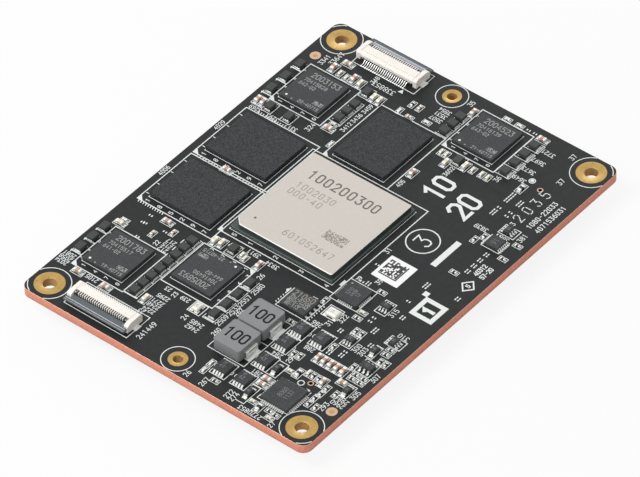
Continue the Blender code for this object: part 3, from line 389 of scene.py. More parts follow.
class Form:
    """One piece, gathered from closed solids that each have one of its materials."""

    def __init__(self, *materials):
        self.materials = materials
        self.points = []
        self.faces = []
        self.slots = []
        self.place = Matrix()

    def at(self, x=0.0, y=0.0, turn=0.0, z=0.0):
        """Place and turn of the solids that follow."""
        self.place = Matrix.Translation((x, y, z)) @ Matrix.Rotation(math.radians(turn), 4, "Z")
        return self

    def on(self, node):
        """Place of a soldered node, for the solids that follow."""
        x, y, length, width = seat(node)
        return self.at(x, y, 0.0, SOLDER_GAP)

    def add(self, points, faces, material):
        base = len(self.points)
        self.points += [self.place @ Vector(point) for point in points]
        self.faces += [[base + corner for corner in face] for face in faces]
        self.slots += [self.materials.index(material)] * len(faces)

    def loft(self, sections, material):
        """Solid through outlines at rising heights."""
        count = len(sections[0][0])
        points = [(x, y, height) for outline, height in sections for x, y in outline]
        faces = [list(range(count))[::-1], [len(points) - count + n for n in range(count)]]
        for level in range(len(sections) - 1):
            low = level * count
            for here in range(count):
                there = (here + 1) % count
                faces.append([low + here, low + there, low + count + there, low + count + here])
        self.add(points, faces, material)

    def prism(self, outline, low, high, material):
        self.loft(((outline, low), (outline, high)), material)

    def block(self, x, y, low, high, length, width, material, edge=0.0, nick=None):
        """Box whose upper edges are broken, and its upright ones too."""
        nick = edge if nick is None else nick
        if not edge:
            self.prism(rectangle(length, width, x, y), low, high, material)
            return
        full = broken_rectangle(length, width, nick, x, y)
        inner = broken_rectangle(length - 2 * edge, width - 2 * edge, nick, x, y)
        self.loft(((full, low), (full, high - edge), (inner, high)), material)

    def land(self, x, y, length, width, material, top=-0.02):
        """Solder land between the board and a part that stands a solder gap above it."""
        self.block(x, y, -0.06, top, length, width, material)

    def bar(self, profile, start, end, material, axis="y"):
        """Solid with a profile of offsets and heights, drawn along X or Y."""
        count = len(profile)
        points = []
        for reach in (start, end):
            for across, height in profile:
                points.append((across, reach, height) if axis == "y" else (reach, across, height))
        faces = [list(range(count))[::-1], list(range(count, 2 * count))]
        for here in range(count):
            there = (here + 1) % count
            faces.append([here, there, count + there, count + here])
        self.add(points, faces, material)

    def beam(self, profile, half, material, middle=0.0, axis="y"):
        """Bar that reaches as far to both sides of a middle."""
        self.bar(profile, middle - half, middle + half, material, axis)

    def ribbon(self, points, width, low, high, material, closed=False):
        """Flat line with mitred corners."""
        count = len(points)
        left = []
        right = []
        for here, point in enumerate(points):
            before = points[here - 1] if here or closed else None
            after = points[(here + 1) % count] if here < count - 1 or closed else None
            way_in = Vector(point) - Vector(before) if before is not None else Vector(after) - Vector(point)
            way_out = Vector(after) - Vector(point) if after is not None else way_in
            way_in = way_in.normalized()
            way_out = way_out.normalized()
            across = Vector((-way_in.y - way_out.y, way_in.x + way_out.x))
            if across.length < 0.1:
                across = Vector((-way_in.y, way_in.x))
            across.normalize()
            stretch = 1 / max(0.5, across.dot(Vector((-way_in.y, way_in.x))))
            spot = Vector(point)
            if before is None:
                spot = spot - way_out * width / 2
            if after is None:
                spot = spot + way_in * width / 2
            left.append(spot + across * stretch * width / 2)
            right.append(spot - across * stretch * width / 2)
        ring = [(*spot, high) for spot in left] + [(*spot, high) for spot in right]
        ring += [(*spot, low) for spot in left] + [(*spot, low) for spot in right]
        faces = []
        for here in range(count if closed else count - 1):
            there = (here + 1) % count
            faces.append([here, here + count, there + count, there])
            faces.append([there + 2 * count, there + 3 * count, here + 3 * count, here + 2 * count])
            faces.append([here, there, there + 2 * count, here + 2 * count])
            faces.append([there + count, here + count, here + 3 * count, there + 3 * count])
        if not closed:
            last = count - 1
            faces.append([0, 2 * count, 3 * count, count])
            faces.append([last, last + count, last + 3 * count, last + 2 * count])
        self.add(ring, faces, material)

    def spun(self, x, y, profile, material, steps):
        """Ring-shaped solid from a closed profile of radii and heights."""
        count = len(profile)
        points = []
        for step in range(steps):
            turn = math.tau * step / steps
            points += [(x + radius * math.cos(turn), y + radius * math.sin(turn), height)
                       for radius, height in profile]
        faces = []
        for step in range(steps):
            here = step * count
            after = (step + 1) % steps * count
            for low in range(count):
                high = (low + 1) % count
                faces.append([here + low, after + low, after + high, here + high])
        self.add(points, faces, material)

    def ball(self, x, y, z, radius, height, material, steps=6):
        """Solder ball, a little flattened."""
        sections = []
        for level in (-0.92, -0.45, 0.45, 0.92):
            sections.append((circle(radius * math.sqrt(1 - level * level), x, y, steps), z + height * level))
        self.loft(sections, material)

    def piece(self, name, body="module"):
        """Make the piece, set it on the board and let it ride."""
        mesh = bpy.data.meshes.new(name)
        lift = Vector((0.0, 0.0, BOARD_TOP))
        mesh.from_pydata([(point + lift) * MM for point in self.points], [], self.faces)
        for material in self.materials:
            mesh.materials.append(M[material])
        mesh.polygons.foreach_set("material_index", self.slots)
        bm = bmesh.new()
        bm.from_mesh(mesh)
        bmesh.ops.recalc_face_normals(bm, faces=bm.faces)
        bm.to_mesh(mesh)
        bm.free()
        mesh.shade_smooth()
        mesh.set_sharp_from_angle(angle=math.radians(32))
        item = bpy.data.objects.new(name, mesh)
        bpy.context.collection.objects.link(item)
        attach(item, body)
        return item


# Strokes of the numerals on a field two wide and four high
NUMERALS = {
    "0": [[(0.5, 0), (1.5, 0), (2, 0.6), (2, 3.4), (1.5, 4), (0.5, 4), (0, 3.4), (0, 0.6), (0.5, 0)]],
    "1": [[(0.3, 3.3), (1.1, 4), (1.1, 0)]],
    "2": [[(0, 3.3), (0.5, 4), (1.5, 4), (2, 3.3), (2, 2.6), (0, 0), (2, 0)]],
    "3": [[(0, 4), (2, 4), (1, 2.4), (1.6, 2.2), (2, 1.6), (2, 0.6), (1.5, 0), (0.5, 0), (0, 0.6)]],
    "4": [[(1.5, 0), (1.5, 4), (0, 1.2), (1.3, 1.2)], [(1.7, 1.2), (2, 1.2)]],
    "5": [[(2, 4), (0.1, 4), (0, 2.2), (1.4, 2.5), (2, 1.9), (2, 0.7), (1.5, 0), (0.5, 0), (0, 0.5)]],
    "6": [[(0.5, 0), (1.5, 0), (2, 0.6), (2, 1.7), (1.5, 2.3), (0.5, 2.3), (0, 1.7), (0, 0.6), (0.5, 0)],
          [(0.1, 2.1), (0.2, 2.7), (0.9, 3.7), (1.8, 4)]],
    "7": [[(0, 4), (2, 4), (0.8, 0)]],
    "8": [[(0.5, 2.1), (0, 1.5), (0, 0.6), (0.5, 0), (1.5, 0), (2, 0.6), (2, 1.5), (1.5, 2.1), (0.5, 2.1)],
          [(0.3, 2.3), (0.1, 2.7), (0.1, 3.5), (0.5, 4), (1.5, 4), (1.9, 3.5), (1.9, 2.7), (1.7, 2.3)]],
    "9": [[(1.5, 4), (0.5, 4), (0, 3.4), (0, 2.3), (0.5, 1.7), (1.5, 1.7), (2, 2.3), (2, 3.4), (1.5, 4)],
          [(1.9, 1.9), (1.8, 1.3), (1.1, 0.3), (0.2, 0)]],
    "-": [[(0.4, 2), (1.6, 2)]],
}
NUMERAL_STEP = 2.9


def write(form, text, x, y, height, turn, material, width, low=-PRINT_DEPTH, high=None, pitch=NUMERAL_STEP):
    """Numerals centred on a place, read along X turned by so many degrees, printed where no top is given."""
    unit = height / 4
    start = -((len(text) - 1) * pitch + 2) / 2
    kept = form.place
    form.place = kept @ Matrix.Translation((x, y, 0.0)) @ Matrix.Rotation(math.radians(turn), 4, "Z")
    for number, sign in enumerate(text):
        for stroke in NUMERALS[sign]:
            points = [((start + number * pitch + px) * unit, (py - 2) * unit) for px, py in stroke]
            closed = points[0] == points[-1]
            path = points[:-1] if closed else points
            form.ribbon(path, width, low, high or print_height(), material, closed)
    form.place = kept


def mark(form, text, x, y, height, turn, material, width, top, pitch=NUMERAL_STEP):
    """Numerals on the top face of a part."""
    write(form, text, x, y, height, turn, material, width, top - MARK_SINK, top + MARK_RISE, pitch)


def print_height():
    """Height of the next printed mark, so that no two that cross lie in one plane."""
    return PRINT_DEPTH + next(PRINT_STEPS) * PRINT_STEP


def write_dashed(form, text, x, y, height, width, pitch, dash=0.42, gap=0.3):
    """Printed numerals whose strokes are rows of dashes."""
    unit = height / 4
    start = -((len(text) - 1) * pitch + 2) / 2
    for number, sign in enumerate(text):
        left = start + number * pitch
        for stroke in NUMERALS[sign]:
            points = [Vector((x + (left + px) * unit, y + (py - 2) * unit)) for px, py in stroke]
            reach = 0.0
            for first, last in zip(points, points[1:]):
                span = (last - first).length
                way = (last - first) / span
                while reach < span - 0.12:
                    end = min(reach + dash, span)
                    print_line(form, [tuple(first + way * reach), tuple(first + way * end)], width)
                    reach += dash + gap
                reach = max(0.0, reach - span)


def print_line(form, points, width=PRINT_WIDTH, closed=False):
    form.ribbon(points, width, -PRINT_DEPTH, print_height(), "print", closed)


def print_box(form, x0, y0, x1, y1, width=PRINT_WIDTH):
    """Printed rectangle."""
    print_line(form, [(x0, y0), (x1, y0), (x1, y1), (x0, y1)], width, True)


def print_patch(form, outline):
    form.prism(outline, -PRINT_DEPTH, print_height(), "print")


# Holes: place, land and hole diameters, radius of the printed circle
SCREW_INSET = 4.0
SCREW_X = BOARD_LENGTH / 2 - SCREW_INSET
SCREW_Y = BOARD_WIDTH / 2 - SCREW_INSET
SCREW_HOLES = [(x, y, 6.1, 2.7, 4.2) for x in (-SCREW_X, SCREW_X) for y in (-SCREW_Y, SCREW_Y)]
COOLER_HOLES = [(-44.0, -1.35, 3.9, 2.0, 3.25), (44.0, 3.65, 3.9, 2.0, 3.25)]
TOOLING_HOLES = [(-33.7, -25.0, 0.8), (33.6, -26.3, 0.8)]
FIDUCIALS = [(-37.0, -32.8), (36.8, 32.2)]
TEST_RINGS = [(-34.7, -23.5), (34.7, -23.5)]


def make_board():
    """Bare board with its holes: copper edges, a painted highlight on the chamfer of each face's rim, and the
    mask on both faces.
    """
    rim = 0.05
    curve = bpy.data.curves.new("board_outline", "CURVE")
    curve.dimensions = "2D"
    curve.fill_mode = "BOTH"
    curve.extrude = (BOARD_THICKNESS / 2 - rim) * MM
    curve.bevel_depth = rim * MM
    curve.bevel_resolution = 0
    length = BOARD_LENGTH - 2 * rim
    width = BOARD_WIDTH - 2 * rim
    outlines = [rounded_rectangle(length, width, BOARD_CORNER_RADIUS - rim, 10)]
    for x, y, land, hole, ring in SCREW_HOLES + COOLER_HOLES:
        outlines.append(circle(hole / 2 + 0.1, x, y, 40)[::-1])
    for x, y, hole in TOOLING_HOLES:
        outlines.append(circle(hole / 2 + 0.08, x, y, 24)[::-1])
    for outline in outlines:
        spline = curve.splines.new("POLY")
        spline.points.add(len(outline) - 1)
        for point, (x, y) in zip(spline.points, outline):
            point.co = (x * MM, y * MM, 0.0, 1.0)
        spline.use_cyclic_u = True
    maker = bpy.data.objects.new("board_maker", curve)
    bpy.context.collection.objects.link(maker)
    graph = bpy.context.evaluated_depsgraph_get()
    mesh = bpy.data.meshes.new_from_object(maker.evaluated_get(graph))
    bpy.data.objects.remove(maker)
    bpy.data.curves.remove(curve)
    mesh.transform(Matrix.Translation((0.0, 0.0, (BOARD_TOP - BOARD_THICKNESS / 2) * MM)))
    bm = bmesh.new()
    bm.from_mesh(mesh)
    bmesh.ops.remove_doubles(bm, verts=bm.verts, dist=0.002 * MM)
    bmesh.ops.recalc_face_normals(bm, faces=bm.faces)
    bm.to_mesh(mesh)
    bm.free()
    mesh.name = "board"
    mesh.materials.clear()
    for name in ("mask", "edge", "rim"):
        mesh.materials.append(M[name])
    for face in mesh.polygons:
        steep = abs(face.normal.z)
        # Chamfer faces between the flat faces and the edge get the painted highlight
        face.material_index = 0 if steep > 0.9 else 1 if steep < 0.3 else 2
    board = bpy.data.objects.new("board", mesh)
    bpy.context.collection.objects.link(board)
    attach(board, "module")
    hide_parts("circuit_board")


def make_plating():
    """Gold lands with their plated holes, bare copper marks and a small test land."""
    form = Form("gold", "barrel", "pale_copper", "solder", "plug")
    under = -BOARD_THICKNESS
    top = LAND_THICKNESS
    bottom = under - LAND_THICKNESS
    for x, y, land, hole, ring in SCREW_HOLES + COOLER_HOLES:
        inner = hole / 2
        outer = land / 2
        upper = ((inner + 0.2, top), (outer - 0.02, top), (outer, 0.02), (outer, -0.03),
                 (inner + 0.02, -0.03), (inner, -0.05))
        wall = ((inner, -0.05), (inner + 0.04, -0.03), (inner + 0.04, under + 0.03), (inner, under + 0.05))
        lower = ((inner, under + 0.05), (inner + 0.02, under + 0.03), (outer, under + 0.03), (outer, bottom),
                 (inner + 0.06, bottom))
        for profile, material in ((upper, "gold"), (wall, "barrel"), (lower, "gold")):
            form.spun(x, y, profile, material, 48)
    for x, y, hole in TOOLING_HOLES:
        inner = hole / 2
        for face in (0.0, under):
            collar = ((inner, face + 0.02), (0.62, face + 0.02), (0.62, face - 0.02), (inner, face - 0.02))
            form.spun(x, y, collar, "pale_copper", 24)
        wall = ((inner, -0.02), (inner + 0.03, -0.02), (inner + 0.03, under + 0.02), (inner, under + 0.02))
        form.spun(x, y, wall, "plug", 24)
    for x, y in FIDUCIALS:
        form.spun(x, y, ((0.5, 0.02), (1.12, 0.02), (1.12, -0.02), (0.5, -0.02)), "pale_copper", 32)
        disc = circle(0.5, x, y)
        form.loft(((disc, -0.02), (disc, 0.022), (circle(0.45, x, y), 0.03)), "gold")
    for x, y in TEST_RINGS[1:]:
        disc = circle(0.42, x, y)
        form.loft(((disc, -0.02), (disc, 0.02), (circle(0.38, x, y), 0.03)), "solder")
    form.piece("plated_lands")


# Chip parts: size letter, body letter and long axis, with their places.
# Sizes: C and c are capacitors, R and r resistors. Bodies: t tan, c cream, w white, k black
CHIP_SIZES = {"C": (1.6, 0.8, 0.8), "c": (1.0, 0.5, 0.5), "R": (1.6, 0.8, 0.45), "r": (1.0, 0.5, 0.35)}
BODY_SURFACES = {"t": "tan", "c": "cream", "w": "white", "k": "resistor"}
CHIPS = {
    "Cty": ((-37.9, 28.8), (-37.9, 21.9), (-17.1, 24.2), (38.7, 25.4), (22.0, 16.7), (44.9, -18.0),
            (-39.6, -18.1), (-38.0, -18.1), (-30.1, -29.8), (0.9, 24.6)),
    "Ccy": ((-22.9, 31.2),),
    "ccy": ((-21.7, 31.0), (23.6, 16.7), (-33.6, -20.0), (-45.5, -24.8), (-13.3, -20.8), (-44.0, -19.6)),
    "ctx": ((-21.3, 24.4), (-18.7, 21.4), (37.4, 6.4)),
    "Ccx": ((-35.6, 13.9), (35.7, 19.9), (34.2, 15.3), (34.2, 13.8), (28.4, -7.3), (29.9, -10.9),
            (-15.5, 13.7), (-15.2, 12.2)),
    "Ctx": ((20.0, 32.8), (20.0, 31.4), (36.2, 27.0), (36.1, 21.8), (22.2, -4.1), (42.7, -2.7),
            (-32.2, -26.7), (-15.5, 2.8), (-27.7, -21.9), (-27.7, -23.4), (-27.7, -24.9), (-27.7, -26.4),
            (-27.7, -27.9)),
    "ccx": ((35.7, 25.0), (30.3, -4.7), (30.3, -6.0), (30.0, -12.7), (30.1, -14.8), (30.1, -16.3),
            (-31.9, -23.1), (-15.3, 7.1), (-15.7, 6.1)),
    "rwx": ((35.5, 23.3), (34.5, 9.1), (18.9, 13.5), (-43.2, -7.1), (-41.0, -7.0)),
    "cty": ((34.2, 6.4),),
    "rwy": ((35.1, 2.8), (45.4, -9.0), (45.4, -12.0)),
    "rkx": ((37.4, 8.2), (15.2, -24.9), (17.0, -25.9), (-31.9, -24.2), (-31.9, -25.5), (-29.7, -17.5),
            (-29.5, -18.9), (-23.7, -22.3), (-38.0, -28.1), (-36.2, -28.1), (-38.0, -29.8), (-34.7, -28.3),
            (-33.0, -28.3), (-33.1, -30.6), (-25.5, -28.6), (-21.4, -31.7), (-21.4, -33.0), (-17.9, -22.9),
            (-17.9, -24.3), (-15.1, -13.1)),
    "rky": ((5.8, -27.5), (14.3, -32.5), (18.8, -32.5), (-44.2, -10.6), (-44.0, -23.7), (-44.2, -25.2),
            (-28.1, -30.3), (-26.9, -30.3), (-28.1, -32.2), (-26.9, -32.2), (-19.3, -31.3), (-17.8, -31.3),
            (-23.4, -11.8), (-15.0, -20.9), (-6.8, -20.2)),
    "Rkx": ((31.7, -23.2), (-44.5, -21.5), (-33.1, -21.6)),
}
CAP_SHARE = 0.3


def chip_part(form, kind, body, side=1):
    """Chip part at the form's place: body, end caps, solder fillets and pads."""
    length, width, height = CHIP_SIZES[kind]
    cap = length * CAP_SHARE
    half = length / 2
    top = side * height
    low, high = sorted((0.04 * side, top - 0.03 * side))
    form.block(0.0, 0.0, low, high, length - cap, width - 0.04, body, 0.03, 0.0)
    fillet = ((half - 0.05, 0.0), (half + height * 0.25, 0.0), (half + height * 0.25, 0.03 * side),
              (half + height * 0.12, height * 0.25 * side), (half + 0.01, height * 0.6 * side),
              (half - 0.05, height * 0.6 * side))
    for sign in (-1, 1):
        form.block(sign * (half - cap / 2), 0.0, *sorted((0.03 * side, top)), cap, width, "tin", 0.06, 0.05)
        form.beam(mirrored(fillet, sign), width * 0.46, "solder")
        pad = sign * (half - cap * 0.7 + (height * 0.45 + cap) / 2)
        form.block(pad, 0.0, *sorted((-0.01 * side, 0.025 * side)), cap + height * 0.3, width + 0.06, "tin")


def make_chips():
    """Every chip capacitor and resistor on both faces."""
    capacitors = Form("tan", "cream", "tin", "solder")
    resistors = Form("white", "resistor", "tin", "solder")
    for (kind, body, axis), places in CHIPS.items():
        form = capacitors if kind in "Cc" else resistors
        for x, y in places:
            form.at(x, y, 90.0 if axis == "y" else 0.0)
            chip_part(form, kind, BODY_SURFACES[body])
    x, y, length, width = seat("processor_lid")
    for column in range(6):
        for row in range(4):
            capacitors.at(x + (column - 2.5) * 3.0, y + (row - 1.5) * 3.0, 0.0, -BOARD_THICKNESS)
            chip_part(capacitors, "c", "tan", -1)
    capacitors.piece("chip_capacitors")
    resistors.piece("chip_resistors")


# Small inductors: first place, count, pitch and long axis
CHOKE_ROWS = (
    (-32.65, 32.6, 3, 3.5, "x"), (-35.2, 16.85, 8, 2.4, "y"), (-30.9, 0.8, 3, 3.27, "x"),
    (-20.5, 0.8, 1, 1.0, "x"), (32.6, 32.6, 3, -4.35, "x"), (19.8, 29.5, 1, 1.0, "x"),
    (19.7, 24.65, 1, 1.0, "x"), (30.3, 16.9, 3, -2.4, "y"), (34.5, 17.15, 1, 1.0, "x"),
    (30.2, -9.05, 1, 1.0, "x"), (42.45, -17.95, 4, -3.02, "y"), (-15.2, 9.3, 1, 1.0, "x"),
    (35.18, -1.65, 3, 2.47, "y"),
)


def make_chokes():
    """Small moulded inductors on their end terminals."""
    form = Form("choke", "tin", "solder")
    full = broken_rectangle(2.0, 1.65, 0.1)
    inner = broken_rectangle(1.84, 1.49, 0.08)
    body = ((inner, 0.02), (full, 0.1), (full, 0.83), (broken_rectangle(1.95, 1.6, 0.1), 0.9), (inner, 0.95))
    fillet = ((1.02, -0.05), (1.13, -0.05), (1.12, -0.02), (1.06, 0.08), (1.035, 0.22), (1.02, 0.22))
    for x, y, count, pitch, axis in CHOKE_ROWS:
        for number in range(count):
            form.at(x + number * pitch, y, 90.0 if axis == "y" else 0.0, SOLDER_GAP)
            form.loft(body, "choke")
            for sign in (-1, 1):
                form.block(sign * 0.865, 0.0, 0.0, 0.3, 0.35, 1.45, "tin", 0.03, 0.04)
                form.beam(mirrored(fillet, sign), 0.68, "solder")
                form.land(sign * 0.9, 0.0, 0.5, 1.5, "tin", -0.025)
    chokes = form.piece("chip_inductors")
    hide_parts(*[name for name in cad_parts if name.startswith("chip_inductor_")])


# Power inductors
COIL_LENGTH = 6.7
COIL_WIDTH = 6.55
COIL_MARK_TEXT = "100"


def make_coils():
    """Pressed coil bodies with engraved numerals and bent tinned clips."""
    sections = []
    for inset, height in ((0.08, 0.2), (0.03, 0.28), (0.03, 2.8), (0.05, 2.86), (0.1, 2.894)):
        outline = rounded_rectangle(COIL_LENGTH - 2 * inset, COIL_WIDTH - 2 * inset, 0.6 - inset, 4)
        sections.append((outline, height))
    for number in (1, 2):
        form = Form("coil", "coil_mark", "tin", "solder")
        form.on(f"power_inductor_{number}")
        form.loft(sections, "coil")
        write(form, COIL_MARK_TEXT, 0.0, 0.0, 2.4, -90.0, "coil_mark", 0.4, 2.88, 2.9, 3.1)
        for sign in (-1, 1):
            clip(form, sign)
        item = form.piece(f"power_coil_{number}")
        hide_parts(f"power_inductor_{number}")


def clip(form, sign):
    """Bent strip up the wall of a coil: flared foot, slotted riser and a lip tucked into the body."""
    wall = COIL_WIDTH / 2
    outer = wall + 0.35
    inner = outer - 0.15
    foot = ((wall - 1.2, 0.0), (outer - 0.05, 0.0), (outer, 0.05), (outer, 0.16), (inner, 0.16),
            (wall - 0.3, 0.16), (wall - 0.3, 0.3), (wall - 1.2, 0.3))
    form.beam(mirrored(foot, sign), 1.65, "tin", axis="x")
    for start, end, low, high in ((-1.65, -0.85, 0.1, 1.7), (0.85, 1.65, 0.1, 1.7), (-0.86, 0.86, 0.1, 1.1),
                                  (-0.86, 0.86, 1.4, 1.7)):
        cut = 0.1 if high > 1.5 else 0.0
        riser = ((inner, low), (outer, low), (outer, high - cut), (outer - cut, high), (inner, high))
        form.bar(mirrored(riser, sign), start, end, "tin", "x")
    lip = ((wall - 0.1, 1.55), (inner + 0.02, 1.55), (inner + 0.02, 1.7), (wall - 0.1, 1.7))
    form.beam(mirrored(lip, sign), 1.65, "tin", axis="x")
    fillet = ((outer - 0.02, -0.05), (outer + 0.5, -0.05), (outer + 0.48, -0.02), (outer + 0.18, 0.1),
              (outer, 0.35), (outer - 0.02, 0.35))
    form.beam(mirrored(fillet, sign), 1.6, "solder", axis="x")
    form.land(0.0, sign * (outer - 0.1), 3.6, 1.6, "tin", -0.025)


def dress(node, material):
    """Give a frame node its finish."""
    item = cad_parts[node]
    if not item.material_slots:
        item.data.materials.append(M[material])
    for place in item.material_slots:
        place.material = M[material]


def ball_rows(form, x, y, length, width, pitch, radius):
    """Solder balls under a grid package: the two outer rows, which can be seen."""
    columns = int((length - 0.8) / pitch) + 1
    lines = int((width - 0.8) / pitch) + 1
    for column in range(columns):
        for line in range(lines):
            if min(column, line, columns - 1 - column, lines - 1 - line) < 2:
                px = x + (column - (columns - 1) / 2) * pitch
                py = y + (line - (lines - 1) / 2) * pitch
                form.ball(px, py, BALL_GAP / 2, radius, BALL_GAP / 2 + 0.01, "solder")


# Turns of the power managers
MANAGER_TURNS = (-90.0, -90.0, -90.0, 90.0)


def dotted_block(form, x, y, side, count, low, high, material, seed, fill=0.5):
    """Square field of small marks in a seeded pattern."""
    draw = random.Random(seed)
    step = side / count
    for column in range(count):
        for row in range(count):
            if draw.random() < fill:
                px = x + (column + 0.5) * step - side / 2
                py = y + (row + 0.5) * step - side / 2
                form.prism(rectangle(step * 0.98, step * 0.98, px, py), low, high, material)


def make_packages():
    """Finishes, marks and solder balls of the packages that stand on grids of balls."""
    balls = Form("solder")
    for number in (1, 2, 3):
        dress(f"memory_{number}", "memory")
        ball_rows(balls, *seat(f"memory_{number}"), 0.8, 0.19)
    for number in (1, 2, 3, 4):
        dress(f"power_manager_{number}", "moulding")
        ball_rows(balls, *seat(f"power_manager_{number}"), 0.8, 0.19)
    dress("processor_substrate", "substrate")
    dress("processor_lid", "lid")
    ball_rows(balls, *seat("processor_substrate"), 0.65, 0.18)
    balls.piece("solder_balls")
    mark_managers()
    mark_lid()


def mark_managers():
    """Numerals, seeded fields and dots on the power managers."""
    marks = Form("package_mark", "print")
    low = MANAGER_TOP - MARK_SINK
    high = MANAGER_TOP + MARK_RISE
    for number, turn in enumerate(MANAGER_TURNS, 1):
        x, y, length, width = seat(f"power_manager_{number}")
        marks.at(x, y, turn)
        lines = ((2000413 + number * 1370, 0.35, 3.35, 1.3, 0.17, 3.1),
                 (70415206 + number * 311, -0.8, 1.55, 0.85, 0.13, 3.4),
                 (f"{640 + number}-02", -1.9, 0.2, 0.8, 0.13, 3.4),
                 (f"{18 + number}-40715", 1.8, -4.1, 0.75, 0.12, 3.4))
        for text, px, py, height, width, pitch in lines:
            mark(marks, str(text), px, py, height, 0.0, "package_mark", width, MANAGER_TOP, pitch)
        for across in (2.65, 3.75):
            seed = number + int(across * 9)
            dotted_block(marks, across, -2.75, 1.1, 8, low, high, "package_mark", seed, 0.55)
        marks.prism(circle(0.26, -3.55, -4.15, 16), low, high, "print")
        marks.prism(circle(0.17, -2.0, -4.5, 12), low, high, "package_mark")
    marks.piece("package_marks")


def mark_lid():
    """Numerals, a seeded field and the pin-one dot on the processor's lid."""
    lid = Form("lid_mark", "lid_mark_faint")
    low = LID_TOP - MARK_SINK
    high = LID_TOP + MARK_RISE
    mark(lid, "100200300", 8.6, 1.6, 2.2, -90.0, "lid_mark", 0.34, LID_TOP, 3.55)
    for text, x, y in (("1002030", 4.9, 5.6), ("000-40", 2.7, 6.5), ("601052647", -6.85, -2.2)):
        mark(lid, text, x, y, 1.5, -90.0, "lid_mark_faint", 0.16, LID_TOP, 3.7)
    for y, seed in ((-3.95, 12), (-6.55, 31)):
        dotted_block(lid, -2.45, y, 2.6, 12, low, high, "lid_mark_faint", seed, 0.58)
    lid.prism(circle(0.28, -7.3, 10.5, 20), low, high, "lid_mark")
    lid.piece("lid_marks")


def make_transistors():
    """Power transistors with sloping tinned leads."""
    form = Form("moulding", "tin", "solder", "faint_mark")
    body = ((broken_rectangle(2.82, 2.92, 0.05), 0.0), (broken_rectangle(2.9, 3.0, 0.05), 0.35),
            (broken_rectangle(2.8, 2.9, 0.05), 0.74), (broken_rectangle(2.68, 2.78, 0.05), CHIP_TOP))
    lead = ((1.38, 0.32), (1.55, 0.32), (1.78, 0.0), (2.0, 0.0), (2.0, 0.12), (1.84, 0.13), (1.6, 0.44),
            (1.38, 0.44))
    for number in range(1, 7):
        form.on(f"power_transistor_{number}")
        form.loft(body, "moulding")
        for sign in (-1, 1):
            for place in range(4):
                middle = (place - 1.5) * 0.65
                form.beam(mirrored(lead, sign), 0.2, "tin", middle)
                form.land(sign * 1.95, middle, 0.55, 0.46, "solder")
        mark(form, f"{40 + number}", -0.2, 0.3, 0.8, -90.0, "faint_mark", 0.11, CHIP_TOP)
        mark(form, "07", 0.8, 0.3, 0.5, -90.0, "faint_mark", 0.08, CHIP_TOP)
    item = form.piece("power_transistors")
    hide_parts(*[f"power_transistor_{number}" for number in range(1, 7)])


def chip_block(form, length, width, cut):
    """Plain moulded block with broken upper edges."""
    full = broken_rectangle(length, width, cut)
    inner = broken_rectangle(length - 0.12, width - 0.12, cut)
    form.loft(((full, 0.0), (full, 0.74), (inner, CHIP_TOP)), "moulding")


def flat_chip(form, side, pads):
    """Square leadless chip at the form's place: block, pads up its walls, solder and lands."""
    chip_block(form, side, side, 0.06)
    reach = side / 2
    heel = ((reach + 0.03, -0.03), (reach + 0.42, -0.03), (reach + 0.12, 0.05), (reach + 0.06, 0.2),
            (reach + 0.03, 0.2))
    for axis, sign in itertools.product("yx", (-1, 1)):
        way = 1 if axis == "y" else -1
        for number in range(pads):
            middle = (number - (pads - 1) / 2) * 0.45
            wall = (sign * reach, middle)[::way]
            land = (sign * reach + sign * 0.25, middle)[::way]
            form.block(*wall, 0.02, 0.25, *(0.1, 0.24)[::way], "tin")
            form.land(*land, *(0.7, 0.27)[::way], "tin")
            form.beam(mirrored(heel, sign), 0.11, "solder", middle, axis)


def make_flat_chips():
    """Controller, interface and flash chips."""
    form = Form("moulding", "tin", "solder", "faint_mark")
    form.on("power_controller")
    flat_chip(form, 6.4, 12)
    for text, y in (("8060", 0.5), ("1137", -0.9)):
        mark(form, text, 0.2, y, 0.9, 0.0, "faint_mark", 0.1, CHIP_TOP)
    controller = form.piece("controller_chip")
    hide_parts("power_controller")

    form = Form("moulding", "tin", "solder", "faint_mark", "package_mark")
    form.on("interface_chip")
    flat_chip(form, 5.2, 8)
    for text, y in (("5210", 1.0), ("4408", 0.0), ("12", -1.0)):
        mark(form, text, 0.0, y, 0.7, 0.0, "faint_mark", 0.09, CHIP_TOP)
    form.prism(circle(0.2, 1.9, 1.9, 16), CHIP_TOP - MARK_SINK, CHIP_TOP + MARK_RISE, "package_mark")
    interface = form.piece("port_chip")
    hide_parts("interface_chip")

    form = Form("moulding", "tin", "lid_mark_faint", "package_mark")
    form.on("flash_chip")
    chip_block(form, 5.0, 6.0, 0.05)
    for sign in (-1, 1):
        for number in range(4):
            middle = (number - 1.5) * 1.27
            form.block(middle, sign * 3.0, 0.02, 0.22, 0.42, 0.08, "tin")
            form.land(middle, sign * 3.2, 0.5, 0.7, "tin")
    mark(form, "21060", 1.45, 0.0, 1.25, -90.0, "lid_mark_faint", 0.2, CHIP_TOP, 3.3)
    for text, x, y in (("334-07106", 0.2, 0.0), ("9015-2240", -0.75, 0.0), ("80-113", -1.7, 0.6)):
        mark(form, text, x, y, 0.75, -90.0, "package_mark", 0.12, CHIP_TOP)
    flash = form.piece("flash_store")
    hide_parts("flash_chip")


